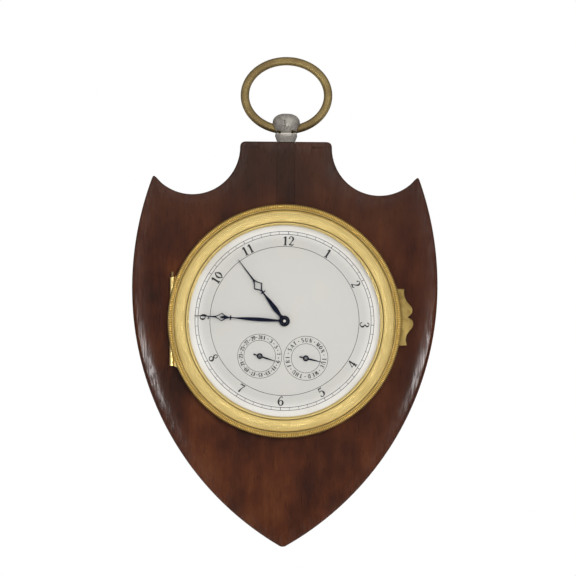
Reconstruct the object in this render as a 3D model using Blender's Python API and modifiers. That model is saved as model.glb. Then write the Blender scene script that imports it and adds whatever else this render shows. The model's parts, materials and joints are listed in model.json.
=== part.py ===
"""Shield-shaped hanging travel clock with a round coach-watch movement, two calendar sub-dials and a bow.

Lengths are given in millimetres and turned into metres when a mesh is made. The clock is laid out in the
frame of its dial: x to the viewer's right, y towards 12 o'clock, z towards the viewer, zero at the dial's
centre and at the back of the wood. One empty stands that frame upright, so that the dial faces -Y and
12 o'clock is +Z, and puts the scene's origin where a hook touches the inside of the bow.
"""

import math

import bmesh
import bpy
from mathutils import Matrix, Vector

MM = 0.001

# Wooden shield
BODY_DEPTH = 36.0
SHIELD_HALF_WIDTH = 69.2
WIDEST_Y = 15.4
LOWER_SIDE_RADIUS = 135.5
UPPER_SIDE_RADIUS = 143.0
SHOULDER_Y = 65.8
SCOOP_CENTRE = (42.4, 78.7)
SCOOP_RADIUS = 21.6
TOP_Y = 81.2
EDGE_ROUNDING = 1.4
BORE_RADIUS = 46.6
REAR_OPENING_RADIUS = 40.5
REAR_LEDGE_Z = 7.5
RECESS_RADIUS = 43.4
RECESS_DEPTH = 2.8
CHANNEL_WIDTH = 8.2
FILLET_WIDTH = 7.6

# Pendant and bow
STEM_Z = 18.0
STEM_RADIUS = 2.1
BOW_AXIS_Y = 86.9
BOW_HALF_WIDTH = 18.8
BOW_HALF_HEIGHT = 15.4
BOW_WIRE_RADIUS = 1.87
BOW_HOLE_RADIUS = 2.9
BOW_CENTRE_Y = BOW_AXIS_Y + BOW_HALF_HEIGHT
HOOK_Y = BOW_CENTRE_Y + BOW_HALF_HEIGHT - BOW_WIRE_RADIUS

# Drum and bezel
DRUM_RADIUS = 46.2
DRUM_INNER = 44.0
FLANGE_RADIUS = 49.4
BEZEL_RADIUS = 53.0
BEZEL_UNDERSIDE = 39.8
HINGE_X = -50.8
HINGE_Z = 39.4
HINGE_TOP_Y = 19.4
HINGE_BOTTOM_Y = -20.7
KNUCKLE_RADIUS = 1.15
KNUCKLE_BORE = 0.8
PIN_RADIUS = 0.55
CENTRE_KNUCKLE = (-9.2, 7.9)

# Rear door
REAR_AXIS_X = 40.7
REAR_AXIS_Z = 1.3
REAR_KNUCKLE_RADIUS = 0.95
REAR_DOOR_RADIUS = 38.2
REAR_SCREW_RADIUS = 41.75
REAR_SCREWS = (("rear_screw_upper", 90.0), ("rear_screw_side", 180.0), ("rear_screw_lower", 270.0))

# Dial and hands, turned a little against the shield as in the photograph
DIAL_TURN = -2.2
DIAL_RADIUS = 43.3
DIAL_BACK = 36.8
DIAL_FRONT = 37.8
DATE_AT = (-10.45, -16.4)
DAY_AT = (10.45, -16.4)
MINUTE_HAND_ANGLE = 89.1
HOUR_HAND_ANGLE = 39.7
DATE_HAND_ANGLE = -105.3
DAY_HAND_ANGLE = -100.8

# Plates
FRONT_PLATE = (28.3, 30.3)
BACK_PLATE = (14.5, 16.5)
FRONT_PLATE_RADIUS = 43.6
BACK_PLATE_RADIUS = 38.5
MOVEMENT_SCREW_RADIUS = 42.0
MOVEMENT_SCREWS = (
    ("movement_screw_right", 30.0),
    ("movement_screw_left", 150.0),
    ("movement_screw_lower", 270.0),
)

# Arbors in the dial's plane, by distance and direction from one to the next
def polar(start, distance, degrees):
    angle = math.radians(degrees)
    return (start[0] + distance * math.cos(angle), start[1] + distance * math.sin(angle))


CENTRE_AT = (0.0, 0.0)
BARREL_ANGLE = 125.0
BARREL_AT = polar(CENTRE_AT, 18.0, BARREL_ANGLE)
THIRD_ANGLE = -10.0
THIRD_AT = polar(CENTRE_AT, 13.5, THIRD_ANGLE)
FOURTH_ANGLE = -115.0
FOURTH_AT = polar(THIRD_AT, 11.22, FOURTH_ANGLE)
ESCAPE_ANGLE = 195.0
ESCAPE_AT = polar(FOURTH_AT, 9.9, ESCAPE_ANGLE)
LEVER_ANGLE = 220.0
LEVER_AT = polar(ESCAPE_AT, 6.6, LEVER_ANGLE)
BALANCE_AT = polar(LEVER_AT, 9.5, LEVER_ANGLE)
MINUTE_WHEEL_ANGLE = 60.0
MINUTE_WHEEL_AT = polar(CENTRE_AT, 9.6, MINUTE_WHEEL_ANGLE)
CALENDAR_ANGLE = -90.0
CALENDAR_AT = polar(CENTRE_AT, 12.0, CALENDAR_ANGLE)
CLICK_AT = polar(BARREL_AT, 11.6, 20.0)
COCK_FOOT_AT = polar(BALANCE_AT, 13.0, 135.0)

# Modules of the toothed wheels
BARREL_MODULE = 0.5
CENTRE_MODULE = 0.5
THIRD_MODULE = 0.44
FOURTH_MODULE = 0.3
CANNON_MODULE = 0.6
MINUTE_PINION_MODULE = 0.48
CALENDAR_MODULE = 2.0 / 3.0

# Colours (linear), roughness, metallic value
MAHOGANY = ((0.045, 0.012, 0.006), 0.28, 0.0)
GILT = ((0.62, 0.46, 0.16), 0.3, 1.0)
BRASS = ((0.55, 0.40, 0.15), 0.35, 1.0)
OLD_BRASS = ((0.30, 0.21, 0.10), 0.4, 1.0)
SILVER = ((0.50, 0.50, 0.49), 0.35, 1.0)
SILVERED = ((0.66, 0.66, 0.62), 0.5, 0.35)
BLUED = ((0.012, 0.022, 0.05), 0.3, 0.8)
STEEL = ((0.42, 0.42, 0.44), 0.3, 1.0)
SPRING_STEEL = ((0.10, 0.13, 0.22), 0.35, 1.0)
GLASS = ((0.92, 0.95, 0.95), 0.03, 0.0)


def clear_scene():
    """Remove every object of the startup scene."""
    for item in list(bpy.data.objects):
        bpy.data.objects.remove(item, do_unlink=True)


clear_scene()
SCENE = bpy.context.scene
CUTTERS = bpy.data.collections.new("cutters")
CUTTERS.hide_render = True
SCENE.collection.children.link(CUTTERS)


def empty(name, parent=None, at=(0.0, 0.0, 0.0), turn=(0.0, 0.0, 0.0)):
    """An axis or a frame that other objects hang on."""
    marker = bpy.data.objects.new(name, None)
    SCENE.collection.objects.link(marker)
    marker.parent = parent
    marker.location = Vector(at) * MM
    marker.rotation_euler = [math.radians(angle) for angle in turn]
    return marker


def finish_of(name, look):
    """A Principled material of its own for one piece."""
    colour, roughness, metallic = look
    material = bpy.data.materials.new(name)
    material.use_nodes = True
    shader = material.node_tree.nodes["Principled BSDF"]
    shader.inputs["Base Color"].default_value = (*colour, 1.0)
    shader.inputs["Roughness"].default_value = roughness
    shader.inputs["Metallic"].default_value = metallic
    material.diffuse_color = (*colour, 1.0)
    return material


def place(name, mesh, look, parent, at):
    """Put a mesh in the scene, or among the cutters where it has no look of its own."""
    part = bpy.data.objects.new(name, mesh)
    part.parent = parent
    part.location = Vector(at) * MM
    if look is None:
        CUTTERS.objects.link(part)
        part.hide_render = True
        part.display_type = "WIRE"
        return part
    SCENE.collection.objects.link(part)
    mesh.materials.append(finish_of(name, look))
    return part


def clockwise(profile):
    """The profile in the order that makes a turned body face outwards."""
    area = 0.0
    for (r0, z0), (r1, z1) in zip(profile, profile[1:] + profile[:1]):
        area += r0 * z1 - r1 * z0
    return profile if area < 0 else profile[::-1]


def turned(name, profile, steps, look, parent, at=(0.0, 0.0, 0.0)):
    """A body turned about its own Z axis from (radius, height) points, a ring where none lies on the axis."""
    ring = clockwise(profile)
    solid = any(radius == 0.0 for radius, _ in ring)
    if solid:
        while not (ring[0][0] == 0.0 and ring[-1][0] == 0.0):
            ring = ring[1:] + ring[:1]
    edges = [(i, i + 1) for i in range(len(ring) - 1)]
    if not solid:
        edges.append((len(ring) - 1, 0))
    mesh = bpy.data.meshes.new(name)
    mesh.from_pydata([(r * MM, 0.0, z * MM) for r, z in ring], edges, [])
    part = place(name, mesh, look, parent, at)
    screw = part.modifiers.new("turn", "SCREW")
    screw.axis = "Z"
    screw.angle = 2.0 * math.pi
    screw.steps = steps
    screw.render_steps = steps
    screw.use_merge_vertices = True
    screw.merge_threshold = 0.00001
    return part


def prism(name, loops, low, high, look, parent, at=(0.0, 0.0, 0.0)):
    """A flat plate between two heights from closed outlines, inner ones being holes."""
    curve = bpy.data.curves.new(name, "CURVE")
    curve.dimensions = "2D"
    curve.fill_mode = "BOTH"
    curve.extrude = (high - low) / 2.0
    for loop in loops:
        spline = curve.splines.new("POLY")
        spline.points.add(len(loop) - 1)
        for point, (x, y) in zip(spline.points, loop):
            point.co = (x, y, 0.0, 1.0)
        spline.use_cyclic_u = True
    flat = bpy.data.objects.new(name + "_curve", curve)
    SCENE.collection.objects.link(flat)
    graph = bpy.context.evaluated_depsgraph_get()
    mesh = bpy.data.meshes.new_from_object(flat.evaluated_get(graph))
    bpy.data.objects.remove(flat, do_unlink=True)
    work = bmesh.new()
    work.from_mesh(mesh)
    bmesh.ops.remove_doubles(work, verts=work.verts, dist=0.002)
    bmesh.ops.translate(work, verts=work.verts, vec=(0.0, 0.0, (low + high) / 2.0))
    bmesh.ops.scale(work, verts=work.verts, vec=(MM, MM, MM))
    bmesh.ops.recalc_face_normals(work, faces=work.faces)
    bmesh.ops.dissolve_limit(work, angle_limit=0.001, verts=work.verts, edges=work.edges)
    work.to_mesh(mesh)
    work.free()
    mesh.materials.clear()
    return place(name, mesh, look, parent, at)


def rod(name, radius, low, high, sides, look, parent, at=(0.0, 0.0, 0.0), along="Z"):
    """A cylinder along one axis of its parent, between two places on that axis."""
    work = bmesh.new()
    bmesh.ops.create_cone(
        work,
        cap_ends=True,
        segments=sides,
        radius1=radius * MM,
        radius2=radius * MM,
        depth=(high - low) * MM,
        matrix=Matrix.Translation((0.0, 0.0, (low + high) / 2.0 * MM)),
    )
    if along == "X":
        bmesh.ops.rotate(work, verts=work.verts, matrix=Matrix.Rotation(math.pi / 2.0, 3, "Y"))
    if along == "Y":
        bmesh.ops.rotate(work, verts=work.verts, matrix=Matrix.Rotation(-math.pi / 2.0, 3, "X"))
    mesh = bpy.data.meshes.new(name)
    work.to_mesh(mesh)
    work.free()
    return place(name, mesh, look, parent, at)


def block(name, low, high, look, parent, at=(0.0, 0.0, 0.0)):
    """A box between two corners."""
    size = Vector(high) - Vector(low)
    middle = (Vector(high) + Vector(low)) / 2.0
    work = bmesh.new()
    bmesh.ops.create_cube(work, size=1.0)
    bmesh.ops.scale(work, verts=work.verts, vec=size * MM)
    bmesh.ops.translate(work, verts=work.verts, vec=middle * MM)
    mesh = bpy.data.meshes.new(name)
    work.to_mesh(mesh)
    work.free()
    return place(name, mesh, look, parent, at)


def combine(part, tool, operation):
    boolean = part.modifiers.new(tool.name, "BOOLEAN")
    boolean.operation = operation
    boolean.solver = "EXACT"
    boolean.object = tool
    return part


def cut(part, tool):
    """Take the tool's space out of the part."""
    return combine(part, tool, "DIFFERENCE")


def join(part, tool):
    """Make the tool's space part of the part."""
    return combine(part, tool, "UNION")


def rounded(part, width, segments=2):
    bevel = part.modifiers.new("rounding", "BEVEL")
    bevel.width = width * MM
    bevel.segments = segments
    bevel.limit_method = "ANGLE"
    bevel.angle_limit = math.radians(35.0)
    return part


def hang(part, axis):
    """Hang a part on the empty of its joint without moving it."""
    part.location = part.location - axis.location
    part.parent = axis
    return part


def arc(centre, radius, start, end, count):
    """Points of a circular arc, angles in degrees, both ends included."""
    angles = [math.radians(start + (end - start) * i / count) for i in range(count + 1)]
    return [(centre[0] + radius * math.cos(a), centre[1] + radius * math.sin(a)) for a in angles]


def circle(radius, count, centre=(0.0, 0.0)):
    return arc(centre, radius, 0.0, 360.0 * (count - 1) / count, count - 1)


def toothed(teeth, root, tip, root_share, tip_share, phase):
    """Outline of a toothed wheel, one tooth lying at the angle phase, given in degrees."""
    points = []
    pitch = 360.0 / teeth
    corners = ((root, -root_share), (tip, -tip_share), (tip, tip_share), (root, root_share))
    for tooth in range(teeth):
        for radius, share in corners:
            angle = math.radians(phase + (tooth + share / 2.0) * pitch)
            points.append((radius * math.cos(angle), radius * math.sin(angle)))
    return points


def star_outline(points, root, tip):
    """Outline of a star wheel with sharp points."""
    outline = []
    for index in range(2 * points):
        angle = math.pi * index / points
        radius = root if index % 2 else tip
        outline.append((radius * math.cos(angle), radius * math.sin(angle)))
    return outline


def wheel_outline(teeth, module, phase):
    """A wheel whose gaps run to a point, deep enough for the leaves of its pinion."""
    pitch_radius = teeth * module / 2.0
    pitch = 360.0 / teeth
    tip = pitch_radius + 0.8 * module
    root = pitch_radius - 1.4 * module
    corners = ((tip, -0.07), (tip, 0.07), (root, 0.5))
    points = []
    for tooth in range(teeth):
        for radius, share in corners:
            angle = math.radians(phase + (tooth + share) * pitch)
            points.append((radius * math.cos(angle), radius * math.sin(angle)))
    return points


def pinion_outline(teeth, module, phase):
    pitch_radius = teeth * module / 2.0
    return toothed(teeth, pitch_radius - 1.25 * module, pitch_radius + 0.45 * module, 0.36, 0.22, phase)


def gap_phase(teeth, direction):
    """The phase at which a wheel shows a gap towards the partner it has in this direction."""
    return direction + 180.0 / teeth


def windows(count, inner, outer, arm):
    """Openings between the arms of a wheel."""
    loops = []
    for index in range(count):
        middle = 360.0 * (index + 0.5) / count
        wide = 180.0 / count - math.degrees(arm / 2.0 / outer)
        narrow = 180.0 / count - math.degrees(arm / 2.0 / inner)
        rim = arc((0.0, 0.0), outer, middle - wide, middle + wide, 4)
        hub = arc((0.0, 0.0), inner, middle + narrow, middle - narrow, 2)
        loops.append(rim + hub)
    return loops


def spiral_strip(name, turns, inner, outer, thickness, start):
    """Outline of a flat spring of whole turns, and a line saying how far its turns stay apart."""
    count = turns * 12
    face = []
    back = []
    for index in range(count + 1):
        angle = start + 360.0 * turns * index / count
        radius = inner + (outer - inner) * index / count
        face.append(polar((0.0, 0.0), radius, angle))
        back.append(polar((0.0, 0.0), radius - thickness, angle))
    gaps = [math.dist(face[index], back[index + 12]) for index in range(count - 11)]
    print(f"{name}: least gap between turns {min(gaps):.2f} mm")
    return face + back[::-1]


def shaft(steps):
    """Profile of a stepped arbor from (low, high, radius) lengths that follow one another."""
    profile = [(0.0, steps[0][0])]
    for low, high, radius in steps:
        profile.append((radius, low))
        profile.append((radius, high))
    profile.append((0.0, steps[-1][1]))
    return profile


def at_height(point, z=0.0):
    return (point[0], point[1], z)


FRAME = empty(
    "clock_frame",
    at=(0.0, STEM_Z, -HOOK_Y),
    turn=(90.0, 0.0, 0.0),
)
DIAL_FRAME = empty("dial_frame", FRAME, turn=(0.0, 0.0, DIAL_TURN))


# Case of wood
def shield_outline():
    """Right half from the lower tip to the neck, then its mirror image."""
    lower_centre = (SHIELD_HALF_WIDTH - LOWER_SIDE_RADIUS, WIDEST_Y)
    upper_centre = (SHIELD_HALF_WIDTH - UPPER_SIDE_RADIUS, WIDEST_Y)
    tip_angle = -math.degrees(math.acos(-lower_centre[0] / LOWER_SIDE_RADIUS))
    shoulder_angle = math.degrees(math.asin((SHOULDER_Y - WIDEST_Y) / UPPER_SIDE_RADIUS))
    side = arc(lower_centre, LOWER_SIDE_RADIUS, tip_angle, 0.0, 13)
    side += arc(upper_centre, UPPER_SIDE_RADIUS, 0.0, shoulder_angle, 6)[1:]
    shoulder = side[-1]
    scoop_start = math.degrees(math.atan2(shoulder[1] - SCOOP_CENTRE[1], shoulder[0] - SCOOP_CENTRE[0]))
    scoop = arc(SCOOP_CENTRE, SCOOP_RADIUS, scoop_start, -180.0, 11)[1:]
    right = side + scoop + [(scoop[-1][0], TOP_Y)]
    left = [(-x, y) for x, y in reversed(right[1:])]
    return right + left


def wooden_case():
    body = prism("shield_body", [shield_outline()], 0.0, BODY_DEPTH, MAHOGANY, FRAME)
    rounded(body, EDGE_ROUNDING, 2)
    cut(body, rod("cut_bore", BORE_RADIUS, REAR_LEDGE_Z, BODY_DEPTH + 4.0, 44, None, FRAME))
    cut(body, rod("cut_rear_opening", REAR_OPENING_RADIUS, -2.0, REAR_LEDGE_Z + 2.0, 36, None, FRAME))
    cut(body, rod("cut_rear_recess", RECESS_RADIUS, -2.0, RECESS_DEPTH, 36, None, FRAME))
    half = CHANNEL_WIDTH / 2.0
    channel = block("cut_channel", (-half, 40.0, 14.6), (half, TOP_Y + 5.0, BODY_DEPTH + 4.0), None, FRAME)
    cut(body, channel)
    for name, angle in REAR_SCREWS:
        spot = at_height(polar(CENTRE_AT, REAR_SCREW_RADIUS, angle))
        cut(body, rod(f"cut_wood_{name}", 1.0, 2.0, REAR_LEDGE_Z + 1.5, 10, None, FRAME, spot))

    half = FILLET_WIDTH / 2.0
    fillet_low = (-half, 40.0, 20.8)
    fillet_high = (half, TOP_Y - 0.1, BODY_DEPTH - 0.05)
    fillet = block("neck_fillet", fillet_low, fillet_high, MAHOGANY, FRAME)
    rounded(fillet, 0.35, 1)
    cut(fillet, rod("cut_fillet_end", BORE_RADIUS + 0.3, 10.0, BODY_DEPTH + 4.0, 64, None, FRAME))


# Pendant, stem and bow
def pendant_and_bow():
    rod("pendant_stem", STEM_RADIUS, 45.2, 84.6, 16, STEEL, FRAME, (0.0, 0.0, STEM_Z), along="Y")

    base = TOP_Y + 0.3
    ball_centre = 88.0 - base
    profile = [
        (0.0, 12.75),
        (2.2, 12.55),
        (4.1, 11.6),
        (5.5, 10.0),
        (6.15, 8.2),
        (6.2, ball_centre),
        (6.0, 5.2),
        (5.5, 4.0),
        (5.2, 3.4),
        (5.05, 2.9),
        (4.6, 1.6),
        (4.25, 0.6),
        (4.2, 0.0),
        (0.0, 0.0),
    ]
    pendant = turned("pendant", profile, 16, SILVER, FRAME, (0.0, base, STEM_Z))
    pendant.rotation_euler = (-math.pi / 2.0, 0.0, 0.0)
    eye_at = (0.0, BOW_AXIS_Y, STEM_Z)
    cut(pendant, rod("cut_bow_hole", BOW_HOLE_RADIUS, -9.0, 9.0, 20, None, FRAME, eye_at, along="X"))
    stem_hole = rod("cut_stem_hole", 2.4, 79.0, 85.5, 16, None, FRAME, (0.0, 0.0, STEM_Z), along="Y")
    cut(pendant, stem_hole)

    wire = bpy.data.curves.new("bow", "CURVE")
    wire.dimensions = "3D"
    wire.bevel_depth = BOW_WIRE_RADIUS * MM
    wire.bevel_resolution = 2
    loop = wire.splines.new("POLY")
    count = 36
    loop.points.add(count - 1)
    for index, point in enumerate(loop.points):
        angle = 2.0 * math.pi * index / count
        x = BOW_HALF_WIDTH * math.cos(angle)
        y = BOW_HALF_HEIGHT * (1.0 + math.sin(angle))
        point.co = (x * MM, y * MM, 0.0, 1.0)
    loop.use_cyclic_u = True
    bow = bpy.data.objects.new("bow", wire)
    SCENE.collection.objects.link(bow)
    bow.parent = FRAME
    bow.location = Vector(eye_at) * MM
    wire.materials.append(finish_of("bow", OLD_BRASS))


# Drum, bezel, crystal and the bezel's hinge
def drum():
    profile = [
        (DRUM_INNER, 39.5),
        (FLANGE_RADIUS, 39.5),
        (FLANGE_RADIUS, 36.3),
        (DRUM_RADIUS, 36.3),
        (DRUM_RADIUS, 8.0),
        (DRUM_INNER, 8.0),
        (DRUM_INNER, 26.0),
        (40.3, 26.0),
        (40.3, 28.0),
        (DRUM_INNER, 28.0),
    ]
    part = turned("movement_drum", profile, 40, BRASS, FRAME)
    cut(part, block("cut_leaf_seat", (-53.0, -21.1, 36.0), (-46.6, 19.8, 41.0), None, FRAME))
    cut(part, rod("cut_stem_entry", 2.5, 41.0, 50.0, 16, None, FRAME, (0.0, 0.0, STEM_Z), along="Y"))
    for name, angle in MOVEMENT_SCREWS:
        spot = at_height(polar(CENTRE_AT, MOVEMENT_SCREW_RADIUS, angle))
        cut(part, rod(f"cut_ledge_{name}", 1.0, 25.0, 29.0, 10, None, DIAL_FRAME, spot))


def knuckle(name, low, high, look, parent):
    at = (HINGE_X, 0.0, HINGE_Z)
    return rod(name, KNUCKLE_RADIUS, low, high, 16, look, parent, at, along="Y")


def bezel_hinge():
    leaf_low = (-50.0, HINGE_BOTTOM_Y, 36.3)
    leaf_high = (-46.9, HINGE_TOP_Y, 38.0)
    leaf = block("bezel_hinge_leaf", leaf_low, leaf_high, GILT, FRAME)
    upper = CENTRE_KNUCKLE[1] + 0.3
    lower = CENTRE_KNUCKLE[0] - 0.3
    spans = ((upper, HINGE_TOP_Y), (HINGE_BOTTOM_Y, lower))
    for index, (low, high) in enumerate(spans):
        join(leaf, block(f"join_web_{index}", (-50.1, low, 37.0), (-48.7, high, 39.3), None, FRAME))
        join(leaf, knuckle(f"join_knuckle_{index}", low, high, None, FRAME))
    bore_at = (HINGE_X, 0.0, HINGE_Z)
    cut(leaf, rod("cut_leaf_bore", KNUCKLE_BORE, -25.0, 25.0, 14, None, FRAME, bore_at, along="Y"))
    pin_ends = (HINGE_BOTTOM_Y - 0.4, HINGE_TOP_Y + 0.6)
    rod("bezel_hinge_pin", PIN_RADIUS, *pin_ends, 12, STEEL, FRAME, bore_at, along="Y")


def bezel_group():
    axis = empty("bezel_axis", FRAME, at=(HINGE_X, 0.0, HINGE_Z))
    profile = [
        (44.6, BEZEL_UNDERSIDE),
        (44.6, 42.4),
        (43.65, 42.4),
        (43.65, 43.5),
        (44.25, 43.6),
        (44.5, 44.2),
        (45.8, 44.95),
        (47.3, 44.85),
        (48.8, 43.9),
        (49.9, 41.8),
        (50.4, 41.7),
        (50.8, 42.35),
        (51.7, 42.6),
        (52.7, 42.0),
        (BEZEL_RADIUS, 40.8),
        (BEZEL_RADIUS, BEZEL_UNDERSIDE),
    ]
    bezel = turned("bezel", profile, 48, GILT, FRAME)
    upper = CENTRE_KNUCKLE[1]
    lower = CENTRE_KNUCKLE[0]
    cut(bezel, block("cut_upper_seat", (-55.0, upper, 38.0), (-48.2, 20.0, 40.85), None, FRAME))
    cut(bezel, block("cut_lower_seat", (-55.0, -21.3, 38.0), (-48.2, lower, 40.85), None, FRAME))
    join(bezel, knuckle("join_centre_knuckle", lower, upper, None, FRAME))
    bore_at = (HINGE_X, 0.0, HINGE_Z)
    bore_ends = (lower - 2.0, upper + 2.0)
    cut(bezel, rod("cut_bezel_bore", KNUCKLE_BORE, *bore_ends, 14, None, FRAME, bore_at, along="Y"))
    hang(bezel, axis)

    dome = [(r, 42.1 + 3.2 * (1.0 - (r / 44.3) ** 2)) for r in (0.0, 14.0, 27.0, 37.0, 44.3)]
    hollow = [(r, 40.9 + 3.1 * (1.0 - (r / 44.3) ** 2)) for r in (44.3, 37.0, 27.0, 14.0, 0.0)]
    hang(turned("crystal", dome + hollow, 36, GLASS, FRAME), axis)
    ring = [(43.4, 40.6), (44.3, 40.6), (44.3, 39.9), (43.4, 39.9)]
    hang(turned("glass_retainer", ring, 36, GILT, FRAME), axis)

    edge = arc((0.0, 0.0), 49.9, -12.5, 17.5, 8)
    outer = [
        (54.0, 14.9),
        (53.85, 13.4),
        (54.2, 11.4),
        (55.3, 9.2),
        (56.7, 7.6),
        (57.6, 6.2),
        (57.7, 4.6),
        (56.9, 3.3),
        (55.6, 2.1),
        (56.7, 1.6),
        (57.9, 0.6),
        (58.2, -0.9),
        (57.8, -2.3),
        (56.6, -3.9),
        (55.4, -5.6),
        (54.9, -7.6),
        (55.0, -9.2),
        (55.3, -10.6),
    ]
    thumb = prism("thumb_piece", [edge + outer], 38.2, 39.5, GILT, FRAME)
    rounded(thumb, 0.3, 1)
    hang(thumb, axis)


# Frame and door in the back
def rear_door_group():
    axis = empty("rear_door_axis", FRAME, at=(REAR_AXIS_X, 0.0, REAR_AXIS_Z))
    profile = [
        (38.6, 0.3),
        (43.0, 0.3),
        (43.0, 2.5),
        (40.1, 2.5),
        (40.1, 7.2),
        (36.6, 7.2),
        (36.6, 2.0),
        (38.6, 2.0),
    ]
    frame = turned("rear_door_frame", profile, 32, BRASS, FRAME)
    cut(frame, block("cut_rear_seat", (36.9, -8.9, -1.0), (42.0, 8.9, 2.35), None, FRAME))
    at = (REAR_AXIS_X, 0.0, REAR_AXIS_Z)
    for index, (low, high) in enumerate(((4.4, 8.5), (-8.5, -4.4))):
        join(frame, block(f"join_rear_web_{index}", (40.9, low, 0.6), (42.5, high, 2.25), None, FRAME))
        name = f"join_rear_knuckle_{index}"
        join(frame, rod(name, REAR_KNUCKLE_RADIUS, low, high, 10, None, FRAME, at, along="Y"))
    cut(frame, rod("cut_rear_bore", 0.65, -12.0, 12.0, 8, None, FRAME, at, along="Y"))
    cut(frame, rod("cut_nail_notch", 4.2, -1.0, 1.5, 14, None, FRAME, (-39.4, 0.0, 0.0)))
    screw = shaft([(0.55, 2.3, 0.75), (2.3, 7.0, 0.6)])
    for screw_name, angle in REAR_SCREWS:
        spot = at_height(polar(CENTRE_AT, REAR_SCREW_RADIUS, angle))
        cut(frame, rod(f"cut_frame_{screw_name}", 1.0, -1.0, 4.0, 10, None, FRAME, spot))
        turned(screw_name, screw, 8, STEEL, FRAME, spot)

    door_profile = [
        (0.0, 0.6),
        (26.0, 0.6),
        (26.6, 0.35),
        (37.7, 0.35),
        (REAR_DOOR_RADIUS, 0.75),
        (REAR_DOOR_RADIUS, 1.7),
        (0.0, 1.7),
    ]
    door = turned("rear_door", door_profile, 32, GILT, FRAME)
    join(door, block("join_rear_tongue", (36.8, -4.1, 0.75), (40.5, 4.1, 1.65), None, FRAME))
    name = "join_door_knuckle"
    join(door, rod(name, REAR_KNUCKLE_RADIUS, -4.1, 4.1, 10, None, FRAME, at, along="Y"))
    cut(door, rod("cut_door_bore", 0.65, -6.0, 6.0, 8, None, FRAME, at, along="Y"))
    hang(door, axis)
    rod("rear_hinge_pin", 0.42, -8.7, 8.7, 8, STEEL, FRAME, at, along="Y")


# Dial and hands
def mirrored(half):
    """A closed outline symmetric about Y from the points of its right side, bottom to top."""
    return half + [(-x, y) for x, y in reversed(half) if x > 0.0]


def hand_turn(part, degrees):
    part.rotation_euler = (0.0, 0.0, math.radians(degrees))
    return part


def dial_and_hands():
    dial = prism(
        "dial",
        [circle(DIAL_RADIUS, 48), circle(2.15, 16), circle(0.9, 8, DATE_AT), circle(0.9, 8, DAY_AT)],
        DIAL_BACK,
        DIAL_FRONT,
        SILVERED,
        DIAL_FRAME,
    )
    for index, angle in enumerate((0.0, 115.0, 235.0)):
        spot = polar((0.0, 0.0), 38.0, angle)
        join(dial, rod(f"join_dial_foot_{index}", 1.0, 30.6, 37.2, 8, None, DIAL_FRAME, at_height(spot)))

    hour_half = [
        (0.35, 16.9),
        (0.5, 17.4),
        (2.2, 19.6),
        (1.2, 21.4),
        (0.45, 23.2),
        (0.33, 25.0),
        (0.12, 34.8),
    ]
    hub = arc((0.0, 0.0), 2.5, -90.0, 72.0, 12)
    leaf = [(0.9, 4.2), (1.15, 7.6), (0.75, 11.2), (0.34, 14.6), (0.34, 15.9), (1.25, 16.0), (1.25, 16.5)]
    window = mirrored([(0.0, 20.6), (0.5, 19.9), (1.45, 19.7), (0.75, 21.2), (0.0, 22.6)])
    outline = mirrored(hub + leaf + [(0.34, 16.6)] + hour_half)
    hour = prism("hour_hand", [outline, window, circle(1.9, 18)], 39.0, 39.5, BLUED, DIAL_FRAME)
    hand_turn(hour, HOUR_HAND_ANGLE)

    minute_half = [
        (0.3, 25.2),
        (0.45, 26.0),
        (1.9, 28.5),
        (1.0, 30.2),
        (0.36, 31.6),
        (0.28, 33.5),
        (0.1, 40.9),
    ]
    hub = arc((0.0, 0.0), 2.0, -90.0, 72.0, 11)
    leaf = [(0.6, 4.0), (0.9, 12.0), (0.62, 18.0), (0.3, 21.6), (0.3, 24.1), (1.06, 24.2), (1.06, 24.6)]
    window = mirrored([(0.0, 29.4), (0.4, 28.8), (1.25, 28.7), (0.62, 30.0), (0.0, 31.0)])
    outline = mirrored(hub + leaf + [(0.3, 24.7)] + minute_half)
    minute = prism("minute_hand", [outline, window, circle(1.3, 16)], 40.1, 40.6, BLUED, DIAL_FRAME)
    hand_turn(minute, MINUTE_HAND_ANGLE)

    nut = [(0.0, 42.3), (0.6, 42.2), (1.15, 41.8), (1.5, 41.2), (1.55, 40.9), (0.0, 40.9)]
    turned("hand_nut", nut, 16, BLUED, DIAL_FRAME)

    for name, spot, tip, tail, angle in (
        ("date_hand", DATE_AT, 7.8, 3.1, DATE_HAND_ANGLE),
        ("weekday_hand", DAY_AT, 7.5, 3.0, DAY_HAND_ANGLE),
    ):
        hub = arc((0.0, 0.0), 1.3, -72.0, 72.0, 8)
        half = [(0.18, -tail), (0.3, -tail + 0.7), (0.2, -1.7)] + hub + [(0.3, 1.8), (0.36, 3.2), (0.1, tip)]
        outline = mirrored(half)
        small = prism(name, [outline, circle(0.7, 12)], 38.2, 38.55, BLUED, DIAL_FRAME, at_height(spot))
        hand_turn(small, angle)


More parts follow.
